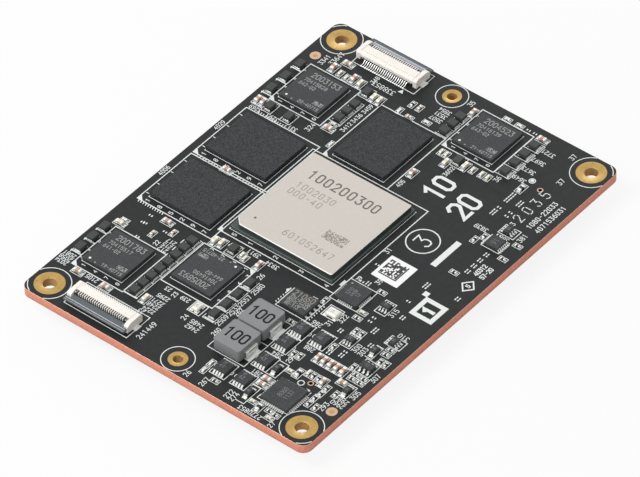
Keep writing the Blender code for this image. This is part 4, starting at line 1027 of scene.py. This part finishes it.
def make_crystals():
    """Two timing crystals: ceramic base, metal lid and soldered ends."""
    form = Form("crystal_base", "crystal_lid", "solder", "tin", "lid_mark_faint")
    height = 0.65
    for x, y, length, width in (seat("crystal"), (-31.45, 4.6, 2.0, 1.6)):
        form.at(x, y, 0.0, SOLDER_GAP)
        form.block(0.0, 0.0, 0.0, height - 0.2, length, width, "crystal_base", 0.04, 0.08)
        rim = rounded_rectangle(length - 0.14, width - 0.14, 0.2, 4)
        form.loft(((rim, height - 0.21), (rim, height - 0.16)), "tin")
        lid = rounded_rectangle(length - 0.34, width - 0.34, 0.2, 4)
        top = rounded_rectangle(length - 0.46, width - 0.46, 0.16, 4)
        form.loft(((lid, height - 0.17), (lid, height - 0.04), (top, height)), "crystal_lid")
        write(form, "24", 0.0, 0.1, 0.55, 0.0, "lid_mark_faint", 0.07, height - 0.01, height + 0.005)
        for sx, sy in itertools.product((-1, 1), repeat=2):
            form.land(sx * (length / 2 - 0.2), sy * (width / 2 - 0.2), 0.9, 0.9, "tin")
            form.block(sx * (length / 2 - 0.15), sy * (width / 2 - 0.15), -0.03, 0.2, 0.34, 0.34, "solder",
                       0.08)
    crystals = form.piece("timing_crystals")
    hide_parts("crystal")


# Leaded parts: kind, place. Kinds: long axis, leads a side, length, width, height, lead pitch and width
LEADED_KINDS = {
    "regulator": ("x", 3, 1.6, 2.9, 1.0, 0.95, 0.4),
    "transistor": ("x", 3, 1.3, 2.1, 0.9, 0.65, 0.3),
    "turned_transistor": ("y", 3, 2.1, 1.3, 0.9, 0.65, 0.3),
    "driver": ("y", 6, 3.0, 3.2, 0.8, 0.5, 0.25),
    "diode": ("x", 1, 1.7, 1.25, 0.9, 1.0, 0.9),
}
LEADED = (
    ("regulator", -24.2, -30.9), ("transistor", -20.5, -23.7), ("transistor", -9.5, -23.4),
    ("turned_transistor", -16.0, -30.6), ("turned_transistor", 20.9, -28.7), ("driver", 16.6, -28.8),
    ("diode", -31.3, -31.8), ("diode", -19.9, -29.2), ("diode", -42.8, -17.7), ("diode", -34.9, -17.8),
)


def make_leaded():
    """Small moulded parts on bent leads."""
    form = Form("moulding", "tin", "solder", "faint_mark")
    for number, (kind, x, y) in enumerate(LEADED, 1):
        axis, count, length, width, height, pitch, lead_width = LEADED_KINDS[kind]
        along, across = (length, width) if axis == "x" else (width, length)
        form.at(x, y, 0.0 if axis == "x" else 90.0)
        middle = height * 0.5
        lower = broken_rectangle(along - 0.1, across - 0.08, 0.03)
        upper = broken_rectangle(along - 0.2, across - 0.18, 0.03)
        form.loft(((lower, 0.06), (broken_rectangle(along, across, 0.04), middle), (lower, height - 0.05),
                   (upper, height)), "moulding")
        edge = along / 2
        lead = ((edge - 0.06, middle - 0.06), (edge + 0.18, middle - 0.06), (edge + 0.26, 0.0),
                (edge + 0.58, 0.0), (edge + 0.58, 0.11), (edge + 0.34, 0.12), (edge + 0.26, middle + 0.06),
                (edge - 0.06, middle + 0.06))
        for sign in (-1, 1):
            for step in range(count):
                place = (step - (count - 1) / 2) * pitch
                form.beam(mirrored(lead, sign), lead_width / 2, "tin", place)
                form.block(sign * (edge + 0.5), place, -0.02, 0.03, 0.6, lead_width + 0.08, "solder")
        mark(form, f"{10 + number}", 0.0, 0.0, min(along, across) * 0.38, 90.0, "faint_mark", 0.08, height)
    form.piece("leaded_parts")


# Ribbon sockets. Reach is counted outwards from the tips of the solder tails
RIBBON_PITCH = 0.5
RIBBON_CONTACTS = 22
PIVOT_REACH = 5.1
PIVOT_HEIGHT = 1.2


def socket_contact(form, middle):
    """One contact: the bent tail, two spring arms, and its foot's land and solder."""
    tail = ((0.0, 0.0), (0.42, 0.0), (0.62, 0.06), (1.3, 0.5), (1.8, 0.5), (1.8, 0.59), (1.26, 0.59),
            (0.58, 0.14), (0.4, 0.08), (0.0, 0.08))
    lower_arm = ((2.25, 0.3), (4.9, 0.34), (4.9, 0.44), (2.25, 0.44))
    upper_arm = ((2.6, 0.98), (4.5, 0.84), (4.56, 0.92), (2.6, 1.08))
    fillet = ((-0.16, -0.03), (0.02, -0.03), (0.02, 0.1), (-0.04, 0.06))
    form.beam(tail, 0.07, "tin", middle)
    form.beam(lower_arm, 0.09, "contact", middle)
    form.beam(upper_arm, 0.09, "contact", middle)
    form.land(0.25, middle, 0.95, 0.14, "tin", -0.015)
    form.beam(fillet, 0.08, "solder", middle)
    form.block(1.95, middle, 1.9, 2.003, 0.2, 0.1, "contact")


def socket_shell(form, half):
    """Moulded housing: trunk, comb over the contacts, ears that carry the latch, and end recesses."""
    rear = ((1.78, 2.0), (1.7, 1.96), (1.27, 1.5))
    trunk = ((1.75, 0.0), (5.5, 0.0), (5.5, 0.3), (2.2, 0.3), (2.2, 0.9), (3.8, 0.9), (3.8, 1.97),
             (3.77, 2.0), *rear, (1.25, 0.9), (1.75, 0.72))
    form.beam(trunk, half - 0.9, "housing")
    # Painted shade: a thin black sheet at the foot of the rear wall, under its overhang behind the tails
    form.beam(((1.7, 0.02), (1.78, 0.02), (1.78, 0.7), (1.7, 0.7)), half - 0.95, "plug")
    tooth = ((3.76, 1.5), (4.54, 1.3), (4.62, 1.3), (4.62, 1.9), (4.56, 1.99), (3.76, 1.99))
    for number in range(RIBBON_CONTACTS + 1):
        form.beam(tooth, 0.085, "housing", (number - RIBBON_CONTACTS / 2) * RIBBON_PITCH)
    # Painted shade: a black block under the comb, so that the slots between the teeth read dark
    form.beam(((3.78, 1.0), (4.48, 1.0), (4.48, 1.78), (3.78, 1.86)), half - 1.0, "plug")
    ear = ((1.3, 0.0), (5.6, 0.0), (5.6, 1.25), (5.46, 1.55), (4.7, 1.96), (4.62, 2.0), *rear)
    for side in (-1, 1):
        form.bar(ear, side * (half - 0.95), side * half, "housing")
        form.block(2.1, side * (half - 1.6), 1.99, 2.006, 0.22, 0.22, "crystal_base")
        for number in range(2):
            form.block(1.3, side * (half - 1.5 - number * 0.5), 0.5, 1.15, 0.1, 0.1, "housing")


# Latch, seen from its end: reach from the pivot and height over it
LATCH_PROFILE = (
    (0.42, -0.35), (1.52, -0.35), (1.63, -0.27), (1.65, -0.08), (1.6, -0.02), (1.1, 0.05), (1.04, 0.09),
    (1.0, 0.16), (0.66, 0.22), (0.6, 0.28), (0.5, 0.33),
)


def socket_latch(form, half, facing):
    """Flip latch: barrel, plate with two ridges, wings in front of the ears, and pivot pins.

    The latch that faces the front has painted shade from its barrel on and painted highlights on its ridges;
    the other one has painted shade beyond its barrel, ridges included.
    """
    inner = half - 1.05
    barrel = arc_points(0.0, 0.0, 0.35, 90, 270, 12)
    form.beam(barrel + list(LATCH_PROFILE), inner, "latch")
    ridges = (((0.98, 0.14), (1.02, 0.1), (1.08, 0.09), (1.04, 0.18)),
              ((1.42, -0.02), (1.47, -0.05), (1.52, -0.03), (1.46, 0.04)))
    # Ridges: painted highlight on the latch that faces the front, painted shade on the other
    for ridge in ridges:
        form.beam(ridge, half - 0.25, "latch_painted_highlight" if facing else "latch_painted_shade")
    plate = ((0.66, 0.2), (0.98, 0.14), (0.99, 0.185), (0.67, 0.24))
    crown = ((-0.32, 0.1), (-0.17, 0.28), (0.0, 0.33), (0.5, 0.31), (0.6, 0.26))
    crown_top = ((0.61, 0.3), (0.5, 0.352), (0.0, 0.366), (-0.19, 0.31), (-0.35, 0.12))
    # Painted shade over the crown and plate on the facing latch, over the plate alone on the other
    form.beam(crown + plate + crown_top if facing else plate, inner - 0.15, "latch_painted_shade")
    # Painted shade on the step, the nose and the wings
    step = ((1.08, 0.03), (1.6, -0.04), (1.6, -0.01), (1.09, 0.068))
    nose = ((1.54, -0.05), (1.59, -0.06), (1.63, -0.1), (1.61, -0.26), (1.5, -0.34), (1.53, -0.37),
            (1.65, -0.28), (1.67, -0.08), (1.61, -0.01), (1.55, 0.0))
    for profile in (step, nose):
        form.beam(profile, half - 0.35, "latch_painted_shade")
    wing = ((0.72, -0.33), (1.5, -0.33), (1.62, -0.26), (1.64, -0.09), (1.6, -0.03), (1.1, 0.04), (1.0, 0.14),
            (0.72, 0.19))
    for side in (-1, 1):
        form.bar(wing, side * (inner - 0.3), side * (half - 0.02), "latch_painted_shade")
        form.bar(circle(0.17, steps=12), side * (inner - 0.1), side * (inner + 0.07), "latch")


def make_sockets():
    """Ribbon sockets: moulded housing with its comb, contacts, hold-downs and latch."""
    for name, sign in (("right", 1), ("left", -1)):
        x, y, length, width = seat(f"ribbon_socket_{name}")
        tails = sign * x - length / 2
        half = seat(f"ribbon_latch_{name}")[3] / 2
        turn = 0.0 if sign > 0 else 180.0
        shell = Form("housing", "plug", "crystal_base")
        shell.at(sign * tails, y, turn, SOLDER_GAP)
        socket_shell(shell, half)
        item = shell.piece(f"socket_housing_{name}")
        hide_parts(f"ribbon_socket_{name}")

        metal = Form("contact", "tin", "solder", "plug")
        metal.at(sign * tails, y, turn, SOLDER_GAP)
        for number in range(RIBBON_CONTACTS):
            socket_contact(metal, (number - (RIBBON_CONTACTS - 1) / 2) * RIBBON_PITCH)
        for side in (-1, 1):
            metal.block(3.3, side * (half + 0.26), 0.0, 0.17, 1.4, 0.6, "tin", 0.03)
            metal.land(3.3, side * (half + 0.32), 1.7, 0.9, "tin", -0.015)
            metal.block(4.2, side * (half - 1.28), 1.2, 1.93, 0.8, 0.56, "contact", 0.05)
            metal.block(4.2, side * (half - 1.28), 1.92, 1.945, 0.3, 0.2, "plug")
        metal.piece(f"socket_contacts_{name}")

        latch = Form("latch", "latch_painted_highlight", "latch_painted_shade")
        latch.at(sign * (tails + PIVOT_REACH), y, turn, SOLDER_GAP + PIVOT_HEIGHT)
        socket_latch(latch, half, sign < 0)
        item = latch.piece(f"flip_latch_{name}", f"{name}_latch")
        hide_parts(f"ribbon_latch_{name}")


# Plug under the board: its height and the contacts in a row
PLUG_HEIGHT = 3.3
PLUG_CONTACTS = 110


def make_plug():
    """Board-to-board plug: its moulding, gold contacts on both faces of two blades, and solder feet."""
    dress("board_plug", "plug")
    middle = seat("board_plug")[1]
    form = Form("gold", "solder")
    under = -BOARD_THICKNESS
    foot = under - PLUG_HEIGHT
    for number in range(PLUG_CONTACTS):
        x = (number - (PLUG_CONTACTS - 1) / 2) * 0.6
        for blade, face in itertools.product((-0.85, 0.85), (-0.385, 0.385)):
            form.block(x, middle + blade + face, foot + 0.95, foot + 2.4, 0.3, 0.04, "gold")
        for sign in (-1, 1):
            form.block(x, middle + sign * 2.85, under - 0.12, under - 0.01, 0.28, 0.5, "solder")
    form.piece("plug_contacts")


def make_print():
    """White print of the upper face: frames, circles, ticks, plain numerals and marks."""
    form = Form("print")
    print_packages(form)
    print_small_parts(form)
    print_holes(form)
    print_marks(form)
    print_labels(form)
    form.piece("board_print")


# Frames of the grid packages: outer box, then the inner one at the package's outline.
# Their pin-one corners are at the left behind, but at the right in front on the turned package
PIN_ONE = 1.3
TURNED_FRAME = 3
PACKAGE_FRAMES = (
    ((-36.8, 18.6, -24.0, 31.3), (-35.07, 20.3, -25.1, 30.3)),
    ((21.67, 18.6, 34.35, 31.33), (23.13, 20.3, 33.1, 30.3)),
    ((32.0, -16.1, 44.67, -3.48), (33.53, -14.5, 43.5, -4.5)),
    ((-29.8, 2.35, -17.13, 15.02), (-28.27, 4.03, -18.3, 14.0)),
    ((-15.5, 14.7, 0.43, 33.2), (-13.85, 16.45, -1.15, 31.75)),
    ((1.0, 14.7, 17.0, 33.2), (2.75, 16.45, 15.4, 31.75)),
    ((15.8, -2.98, 33.7, 13.0), (16.85, -1.25, 32.15, 11.45)),
    ((-12.6, -13.1, 15.8, 15.4), (-11.05, -11.45, 14.25, 13.85)),
)


def print_packages(form):
    """Frames, pin-one corners and row ticks of the grid packages."""
    for number, (outer, inner) in enumerate(PACKAGE_FRAMES):
        print_box(form, *outer, 0.22)
        print_box(form, *inner, 0.14)
        x0, y0, x1, y1 = outer
        if number == TURNED_FRAME:
            print_patch(form, [(x1, y0), (x1, y0 + PIN_ONE), (x1 - PIN_ONE, y0)])
        else:
            print_patch(form, [(x0, y1), (x0, y1 - PIN_ONE), (x0 + PIN_ONE, y1)])
    for x0 in (-14.75, 1.85):
        for y in (31.2, 28.2, 25.4, 22.6, 19.8, 17.0):
            write(form, str(int(y) % 10), x0, y, 0.9, 0.0, "print", 0.16)
    for n in range(23):
        y = 31.9 - n * 0.72
        if abs(y - 23.7) > 1.6:
            print_line(form, [(0.5, y), (0.93, y - 0.1 * (n % 3))], 0.2)
    for n in range(11):
        print_line(form, [(-15.7, 32.6 - n * 0.6), (-16.05, 32.5 - n * 0.6)], 0.2)
        print_line(form, [(17.1, 30.4 - n * 0.6), (17.55, 30.4 - n * 0.6)], 0.2)
    for x0, x in itertools.product((0.0, 16.6), (-13.2, -10.0, -5.9, -1.9)):
        print_line(form, [(x + x0, 32.3), (x + x0, 32.8)])
    for n, (x, y) in enumerate(((-35.8, 29.2), (-35.8, 26.3), (-35.8, 23.5), (-35.8, 20.7), (-34.5, 30.85),
                                (-32.0, 30.85), (-29.1, 30.85), (-26.1, 30.85))):
        for px, py in ((x, y), (x + 58.25, y), (x + 68.65, y - 34.8), (-53.75 - x + 0.3, 33.4 - y)):
            write(form, str((n * 3 + 1) % 10), px, py, 0.75, 0.0, "print", 0.15)
    for y, n in ((8.0, 1), (1.8, 2), (-4.5, 3), (-10.7, 4), (12.0, 5)):
        write(form, str(n), -11.8, y, 0.9, 0.0, "print", 0.16)


# Corners of the boxes round the smaller parts
CHOKE_FRAMES = (
    (18.3, 28.3, 21.3, 30.7), (18.2, 23.4, 21.2, 25.9), (33.0, 16.0, 36.0, 18.3), (28.6, -10.2, 31.8, -7.9),
    (-16.8, 8.1, -13.6, 10.5),
)
TRANSISTOR_FRAMES = (
    (-42.96, -11.65, -38.5, -8.1), (-42.9, -16.4, -38.5, -12.96), (-36.65, -16.5, -32.3, -12.96),
    (-30.8, -16.5, -26.2, -12.96), (-26.1, -16.5, -21.65, -12.96), (-25.9, -21.3, -21.4, -17.7),
)
LEADED_FRAMES = (
    (-18.3, -18.0, -15.2, -14.7), (-32.9, 3.0, -30.0, 5.9), (14.9, -30.9, 18.4, -26.7),
    (-26.1, -32.5, -22.2, -29.15), (-22.3, -24.9, -18.7, -22.5), (-11.5, -24.6, -7.8, -22.1),
    (-17.0, -32.6, -14.5, -29.0), (19.6, -30.7, 22.2, -27.1),
)
DIODE_FRAMES = (
    (-32.9, -32.7, -29.4, -30.5), (-21.9, -29.9, -18.3, -28.4), (-45.5, -18.6, -40.5, -16.7),
    (-36.7, -18.9, -32.6, -16.7),
)
SOCKET_FRAMES = ((39.9, 9.95, 46.4, 25.4), (-45.7, 9.9, -38.9, 25.5))


def print_small_parts(form):
    """Outlines round the chip parts, inductors, transistors and chips."""
    for (kind, body, axis), places in CHIPS.items():
        length, width, height = CHIP_SIZES[kind]
        large = kind in "CR"
        a = length / 2 + (0.55 if large else 0.45)
        b = width / 2 + (0.34 if large else 0.3)
        if axis == "y":
            a, b = b, a
        for x, y in places:
            print_box(form, x - a, y - b, x + a, y + b, 0.12)
    print_chokes(form)
    for x0, y0, x1, y1 in TRANSISTOR_FRAMES:
        print_box(form, x0, y0, x1, y1)
        middle = (x0 + x1) / 2
        for y, way in ((y1, 0.35), (y0, -0.35)):
            print_line(form, [(middle - 0.5, y), (middle - 0.3, y + way), (middle + 0.3, y + way),
                              (middle + 0.5, y)], 0.13)
    print_box(form, -38.0, -12.4, -24.0, -3.5)
    for line in (((-31.05, -12.4), (-31.05, -3.5)), ((-42.65, -26.65), (-42.65, -19.5), (-41.7, -19.5)),
                 ((-42.65, -26.65), (-35.6, -26.65)), ((-36.7, -18.9), (-33.2, -18.9))):
        print_line(form, line)
    print_patch(form, [(-35.6, -26.2), (-35.2, -26.2), (-35.2, -25.2)])
    print_box(form, -13.8, -19.6, -7.4, -13.1)
    print_line(form, [(-9.9, -12.7), (-8.8, -12.7)], 0.5)
    print_box(form, -21.6, -13.6, -16.0, -6.35, 0.18)
    print_patch(form, [(-17.9, -6.0), (-16.4, -6.0), (-17.1, -5.3)])
    for corners in LEADED_FRAMES:
        print_box(form, *corners)
    for x0, y0, x1, y1 in DIODE_FRAMES:
        print_line(form, [(x0, y1), (x0, y0), (x1, y0), (x1, y1)])
    for corners in SOCKET_FRAMES:
        print_box(form, *corners)
    print_patch(form, [(38.6, 12.9), (38.6, 11.7), (39.6, 12.3)])


def print_chokes(form):
    """Lines between the small inductors of a row, and boxes round the single ones."""
    for x in (-34.0, -30.1, -26.7, 22.4, 26.9, 31.4):
        print_line(form, [(x, 33.8), (x, 31.5)], 0.3)
        print_line(form, [(x - 0.35, 33.7), (x + 0.5, 33.7)])
    for y in (15.75, 15.3):
        print_line(form, [(-36.5, y), (-17.2, y)], 0.13)
    for n in range(9):
        x = -36.4 + n * 2.4
        print_line(form, [(x, 15.3), (x + 0.1, 16.0)], 0.16)
        if n < 8:
            print_line(form, [(x - 0.2, 18.6), (x + 0.7, 18.6)], 0.2)
    print_line(form, [(-36.5, 15.3), (-36.5, 18.5)], 0.3)
    for x in (33.5, 36.4, 39.4, 42.5):
        print_box(form, x - 1.2, -19.6, x + 1.2, -16.2, 0.16)
        print_line(form, [(x - 1.2, -19.2), (x + 1.2, -19.2)], 0.3)
    for x in (-32.6, -29.0, -25.5, -22.1):
        print_line(form, [(x + 3.0, -0.3), (x, -0.3), (x, 2.3), (x + 1.0, 2.3)], 0.16)
        print_line(form, [(x + 0.25, 1.9), (x + 0.25, -0.1)], 0.25)
    for low, high, columns in ((-2.95, -0.2, (33.6, 34.0, 36.4, 38.9, 41.4)),
                               (15.5, 18.3, (23.9, 24.2, 26.7, 29.1, 31.5))):
        print_line(form, [(columns[0], low), (columns[-1], low)], 0.16)
        for x in columns[1:]:
            print_line(form, [(x, low), (x, high)], 0.16)
    for corners in CHOKE_FRAMES:
        print_box(form, *corners, 0.14)


def print_holes(form):
    """Circles round the holes, open where the board ends."""
    for x, y, land, hole, ring in SCREW_HOLES:
        turn = math.degrees(math.atan2(math.copysign(1.0, y), math.copysign(1.0, x)))
        print_line(form, arc_points(x, y, ring, turn + 69, turn + 291, 48), 0.18)
        print_line(form, arc_points(x, y, ring, turn - 19, turn + 19, 10), 0.18)
    for x, y, land, hole, ring in COOLER_HOLES:
        print_line(form, circle(ring, x, y, 48), 0.18, True)
    for x, y in TEST_RINGS:
        print_line(form, circle(0.62, x, y, 24), 0.2, True)


# Printed dots in pairs: place of the first pair and count of pairs
DOT_PITCH = 0.62
TEST_DOTS = (
    (22.8, -22.7, 3), (25.0, -22.8, 1), (27.2, -22.7, 5), (24.0, -25.4, 1), (25.2, -25.4, 1),
    (27.6, -25.3, 3), (7.3, -29.0, 2), (9.2, -29.0, 2), (11.1, -29.0, 2), (13.0, -29.0, 2),
    (-16.2, -25.3, 3), (-5.6, -25.3, 1), (-0.8, -25.3, 3), (-10.0, -27.2, 2), (-14.2, -23.0, 1),
    (-13.0, -23.0, 1), (0.3, -32.2, 2), (-6.8, -15.0, 1), (-6.8, -16.3, 2), (-1.5, -14.4, 1),
    (-19.8, -20.2, 2), (-25.6, -22.2, 2), (-24.8, -24.5, 2), (-23.3, -24.5, 1), (-19.4, -27.2, 2),
    (19.0, -27.5, 1), (45.5, -13.8, 1), (45.5, -15.4, 1), (-23.6, 26.5, 1), (-19.8, 27.8, 1),
    (-20.0, 28.3, 1), (-17.6, 28.3, 1), (-19.4, 23.2, 1),
)


def print_marks(form):
    """Bar, circle, square, lozenge and other plain marks near the front edge."""
    write(form, "10", 22.2, -10.6, 4.3, 0.0, "print", 0.75)
    write(form, "20", 21.1, -17.7, 4.5, 0.0, "print", 0.75)
    print_patch(form, rectangle(8.0, 1.3, 8.8, -23.15))
    print_line(form, circle(3.3, 8.8, -17.5, 48), 0.26, True)
    write(form, "3", 8.8, -17.5, 3.4, 0.0, "print", 0.3)
    print_patch(form, rectangle(1.2, 1.2, -2.0, -27.0))
    print_line(form, [(-7.4, -28.0), (-3.0, -28.0), (-3.0, -32.4), (-7.4, -32.4)], 1.0, True)
    write(form, "1", -5.3, -30.2, 2.0, 0.0, "print", 0.8)
    print_line(form, [(4.5, -30.5), (6.1, -31.9), (4.5, -33.3), (2.9, -31.9)], 0.3, True)
    write(form, "5", 4.5, -31.9, 0.9, 0.0, "print", 0.2)
    write(form, "40312", 9.3, -31.0, 0.95, 0.0, "print", 0.2)
    write(form, "57-20", 9.3, -32.5, 0.95, 0.0, "print", 0.2)
    write_dashed(form, "2035", 29.0, -27.9, 2.2, 0.2, 5.0)
    write(form, "1080-22033", 28.3, -30.95, 1.05, 0.0, "print", 0.17, pitch=3.4)
    write(form, "4071536031", 28.3, -32.9, 1.05, 0.0, "print", 0.17, pitch=3.4)
    for x, y, count in TEST_DOTS:
        for n in range(count):
            for row in (y, y - DOT_PITCH):
                dot = x + n * DOT_PITCH
                print_line(form, [(dot - 0.1, row), (dot + 0.1, row)], 0.26)
    for n in range(7):
        x = -20.9 + n * 0.72
        for y in (-14.1, -5.95):
            print_line(form, [(x, y), (x + 0.15, y + 0.15)], 0.2)


# Plain numerals that stand by the parts: place, count of digits, height and turn
LABELS = (
    (-37.6, 33.2, 4, 0.8, 90), (-36.4, 33.2, 4, 0.8, 90), (-35.2, 33.2, 4, 0.8, 90),
    (-37.6, 25.5, 4, 0.8, 90), (-23.4, 20.1, 3, 0.8, 90), (-22.1, 20.1, 3, 0.8, 90),
    (-20.8, 20.1, 3, 0.8, 90), (-22.7, 22.2, 2, 0.8, 0), (-37.5, 11.5, 4, 0.8, 90),
    (-36.1, 11.5, 4, 0.8, 90), (-34.8, 11.5, 4, 0.8, 90), (-33.2, 11.5, 4, 0.8, 90),
    (-38.6, 12.4, 2, 0.8, 90), (-30.9, 12.2, 2, 0.8, 90), (-31.3, 10.3, 2, 0.8, 0),
    (-31.0, 7.9, 3, 0.8, 90), (-41.9, 8.2, 6, 0.95, 0), (-34.7, 4.9, 2, 0.9, 0),
    (-36.2, 1.9, 4, 0.85, 90), (-34.7, 1.9, 4, 0.85, 90), (-31.1, -1.2, 4, 0.9, 0),
    (-27.7, -1.2, 4, 0.9, 0), (-24.4, -1.2, 4, 0.9, 0), (-20.6, -1.2, 4, 0.9, 0),
    (-34.1, -2.3, 3, 0.8, 0), (-27.5, -2.3, 3, 0.8, 0), (-45.9, -5.2, 2, 0.9, 0),
    (-45.6, -9.1, 3, 0.9, 0), (-17.6, 0.6, 2, 0.9, 0), (-45.2, -14.8, 3, 0.9, 0),
    (-45.2, -16.0, 3, 0.9, 0), (-46.5, -21.0, 7, 0.85, 90), (-46.5, -26.1, 2, 0.85, 0),
    (-37.7, -15.3, 3, 0.85, 90), (-31.7, -15.2, 3, 0.85, 90), (-20.8, -15.9, 3, 0.85, 90),
    (-26.8, -19.0, 3, 0.85, 90), (-31.0, -18.0, 3, 0.85, 0), (-36.9, -30.8, 3, 0.9, 0),
    (-34.9, -32.4, 4, 0.85, 90), (-33.6, -32.4, 4, 0.85, 90), (-21.3, -25.9, 3, 0.9, 0),
    (-21.3, -27.4, 3, 0.9, 0), (-31.1, -33.6, 3, 0.9, 0), (-25.4, -33.7, 3, 0.9, 0),
    (-13.7, -31.0, 3, 0.9, 90), (2.7, -13.9, 2, 0.9, 0), (-9.8, -25.5, 3, 0.9, 0),
    (-16.0, -11.2, 2, 0.9, 0), (-19.3, -17.5, 2, 0.9, 0), (-16.8, -18.9, 3, 0.9, 0),
    (20.2, 19.8, 3, 0.9, 0), (17.8, 31.6, 4, 0.8, 90), (17.8, 27.3, 4, 0.8, 90),
    (17.8, 22.6, 4, 0.8, 90), (36.9, 30.0, 4, 0.85, 0), (38.6, 28.3, 5, 0.9, 0),
    (37.6, 15.6, 6, 1.0, 90), (24.5, 14.3, 4, 0.8, 0), (27.7, 14.3, 4, 0.8, 0), (31.0, 14.3, 4, 0.8, 0),
    (38.4, 18.4, 3, 0.8, 0), (36.9, 2.0, 4, 0.8, 90), (38.4, 2.0, 4, 0.8, 90), (39.8, 2.0, 4, 0.8, 90),
    (44.6, -0.7, 2, 0.9, 0), (26.9, -9.2, 4, 0.8, 0), (31.0, -17.9, 2, 0.9, 0),
    (33.6, -21.2, 4, 0.85, 90), (36.5, -21.2, 4, 0.85, 90), (39.6, -21.2, 4, 0.85, 90),
    (42.6, -21.2, 4, 0.85, 90), (44.7, -25.6, 2, 0.9, 0), (37.8, -28.0, 2, 0.95, 0),
    (23.0, -28.0, 1, 0.9, 0), (21.0, -31.9, 3, 0.9, 0), (18.5, -23.9, 4, 0.85, 90),
    (18.8, -29.2, 3, 0.8, 90), (-14.3, 9.6, 4, 0.85, 90), (-13.6, 5.7, 4, 0.85, 90),
    (-13.9, 0.9, 4, 0.85, 90), (-4.9, -17.9, 2, 0.9, 0), (-6.5, -14.4, 2, 0.7, 0),
    (-6.5, 34.2, 4, 0.8, 0), (9.9, 34.1, 4, 0.8, 0), (18.6, -4.0, 3, 0.8, 0),
)


def print_labels(form):
    """Plain numerals, counted on from label to label."""
    number = 101
    for x, y, count, height, turn in LABELS:
        text = str(number * 7919 + 1234567)[:count]
        write(form, text, x, y, height * 1.15, turn, "print", 0.14, pitch=3.2)
        number += 3


def make_label():
    """White paper label with a field of small squares between two bars."""
    form = Form("label", "resistor")
    low = LABEL_THICKNESS - 0.005
    high = LABEL_THICKNESS + 0.008
    field = 3.96
    form.prism(rounded_rectangle(6.4, 6.3, 0.15, 3, -1.0, -18.45), 0.0, LABEL_THICKNESS, "label")
    form.block(-0.8, -20.15, low, high, 4.4, 0.3, "resistor")
    form.block(-2.85, -18.0, low, high, 0.3, field, "resistor")
    dotted_block(form, -0.62, -17.97, field, 11, low, high, "resistor", 8, 0.62)
    form.piece("paper_label")


def make_camera():
    """Camera at the photograph's viewing angle."""
    azimuth = math.radians(VIEW_AZIMUTH)
    elevation = math.radians(VIEW_ELEVATION)
    roll = math.radians(VIEW_ROLL)
    forward = Vector((math.sin(azimuth) * math.cos(elevation), math.cos(azimuth) * math.cos(elevation),
                      -math.sin(elevation)))
    level_right = forward.cross(Vector((0.0, 0.0, 1.0))).normalized()
    level_up = level_right.cross(forward)
    right = level_right * math.cos(roll) + level_up * math.sin(roll)
    up = right.cross(forward)
    target = Vector((*VIEW_TARGET, BOARD_TOP))
    place = (target - forward * VIEW_DISTANCE) * MM
    camera = bpy.data.cameras.new("camera")
    camera.lens = LENS
    camera.sensor_width = 36.0
    camera.clip_start = 0.01
    camera.clip_end = 20.0
    item = bpy.data.objects.new("camera", camera)
    turn = Matrix((right, up, -forward)).transposed().to_4x4()
    item.matrix_world = Matrix.Translation(place) @ turn
    bpy.context.collection.objects.link(item)
    bpy.context.scene.camera = item


def make_lamp(name, direction, distance, size, power):
    """Soft square lamp that faces the board's middle."""
    lamp = bpy.data.lights.new(name, "AREA")
    lamp.size = size
    lamp.energy = power
    item = bpy.data.objects.new(name, lamp)
    way = Vector(direction).normalized()
    item.location = way * distance
    item.rotation_euler = way.to_track_quat("Z", "Y").to_euler()
    bpy.context.collection.objects.link(item)


def make_world():
    """White surroundings, at full strength only where they are seen straight or in a mirror."""
    world = bpy.data.worlds.new("studio")
    bpy.context.scene.world = world
    world.use_nodes = True
    tree = world.node_tree
    light = tree.nodes["Background"]
    light.inputs["Color"].default_value = WHITE
    light.inputs["Strength"].default_value = SKY_LIGHT
    seen = add_node(tree, "Background", {"Color": WHITE, "Strength": 1.0})
    path = add_node(tree, "LightPath")
    share = path.outputs["Is Camera Ray"]
    for ray in ("Is Glossy Ray", "Is Transmission Ray"):
        share = add_node(tree, "Math", {0: share, 1: path.outputs[ray]}, operation="MAXIMUM").outputs["Value"]
    shades = {1: light.outputs["Background"], 2: seen.outputs["Background"]}
    mix = add_node(tree, "MixShader", {0: share, **shades})
    feed(tree, tree.nodes["World Output"].inputs["Surface"], mix.outputs["Shader"])


def make_floor():
    """Matte white floor that shows the shadows of the board, and shines a little to the camera."""
    floor = Surface("studio_floor", FLOOR_GREY, 0.9, specular=0.0).vary(60.0, 0.004)
    shine = floor.node("Emission", {"Color": WHITE, "Strength": 1.0}).outputs["Emission"]
    sight = floor.node("LightPath").outputs["Is Camera Ray"]
    share = floor.node("Math", {0: sight, 1: FLOOR_SHINE}, operation="MULTIPLY").outputs["Value"]
    mix = floor.node("MixShader", {0: share, 1: floor.shader.outputs["BSDF"], 2: shine})
    feed(floor.tree, floor.tree.nodes["Material Output"].inputs["Surface"], mix.outputs["Shader"])
    mesh = bpy.data.meshes.new("floor")
    corners = rectangle(2 * FLOOR_REACH, 2 * FLOOR_REACH)
    mesh.from_pydata([(x, y, FLOOR_HEIGHT) for x, y in corners], [], [(0, 1, 2, 3)])
    mesh.materials.append(floor.material)
    item = bpy.data.objects.new("floor", mesh)
    bpy.context.collection.objects.link(item)


def make_studio():
    """Surroundings, a key lamp from behind on the left, two weaker lamps, and the floor."""
    make_world()
    make_lamp("key", (-0.5, 0.45, 1.0), 0.8, 0.35, 3.3)
    make_lamp("fill", (-1.0, -0.1, 0.6), 0.9, 0.5, 1.3)
    make_lamp("rim", (0.83, 0.475, 0.29), 0.6, 0.3, 0.7)
    make_floor()


make_board()
make_plating()
make_chips()
make_chokes()
make_coils()
make_packages()
make_transistors()
make_flat_chips()
make_crystals()
make_leaded()
make_sockets()
make_plug()
make_print()
make_label()
make_camera()
make_studio()
bpy.context.scene.view_settings.view_transform = "Standard"
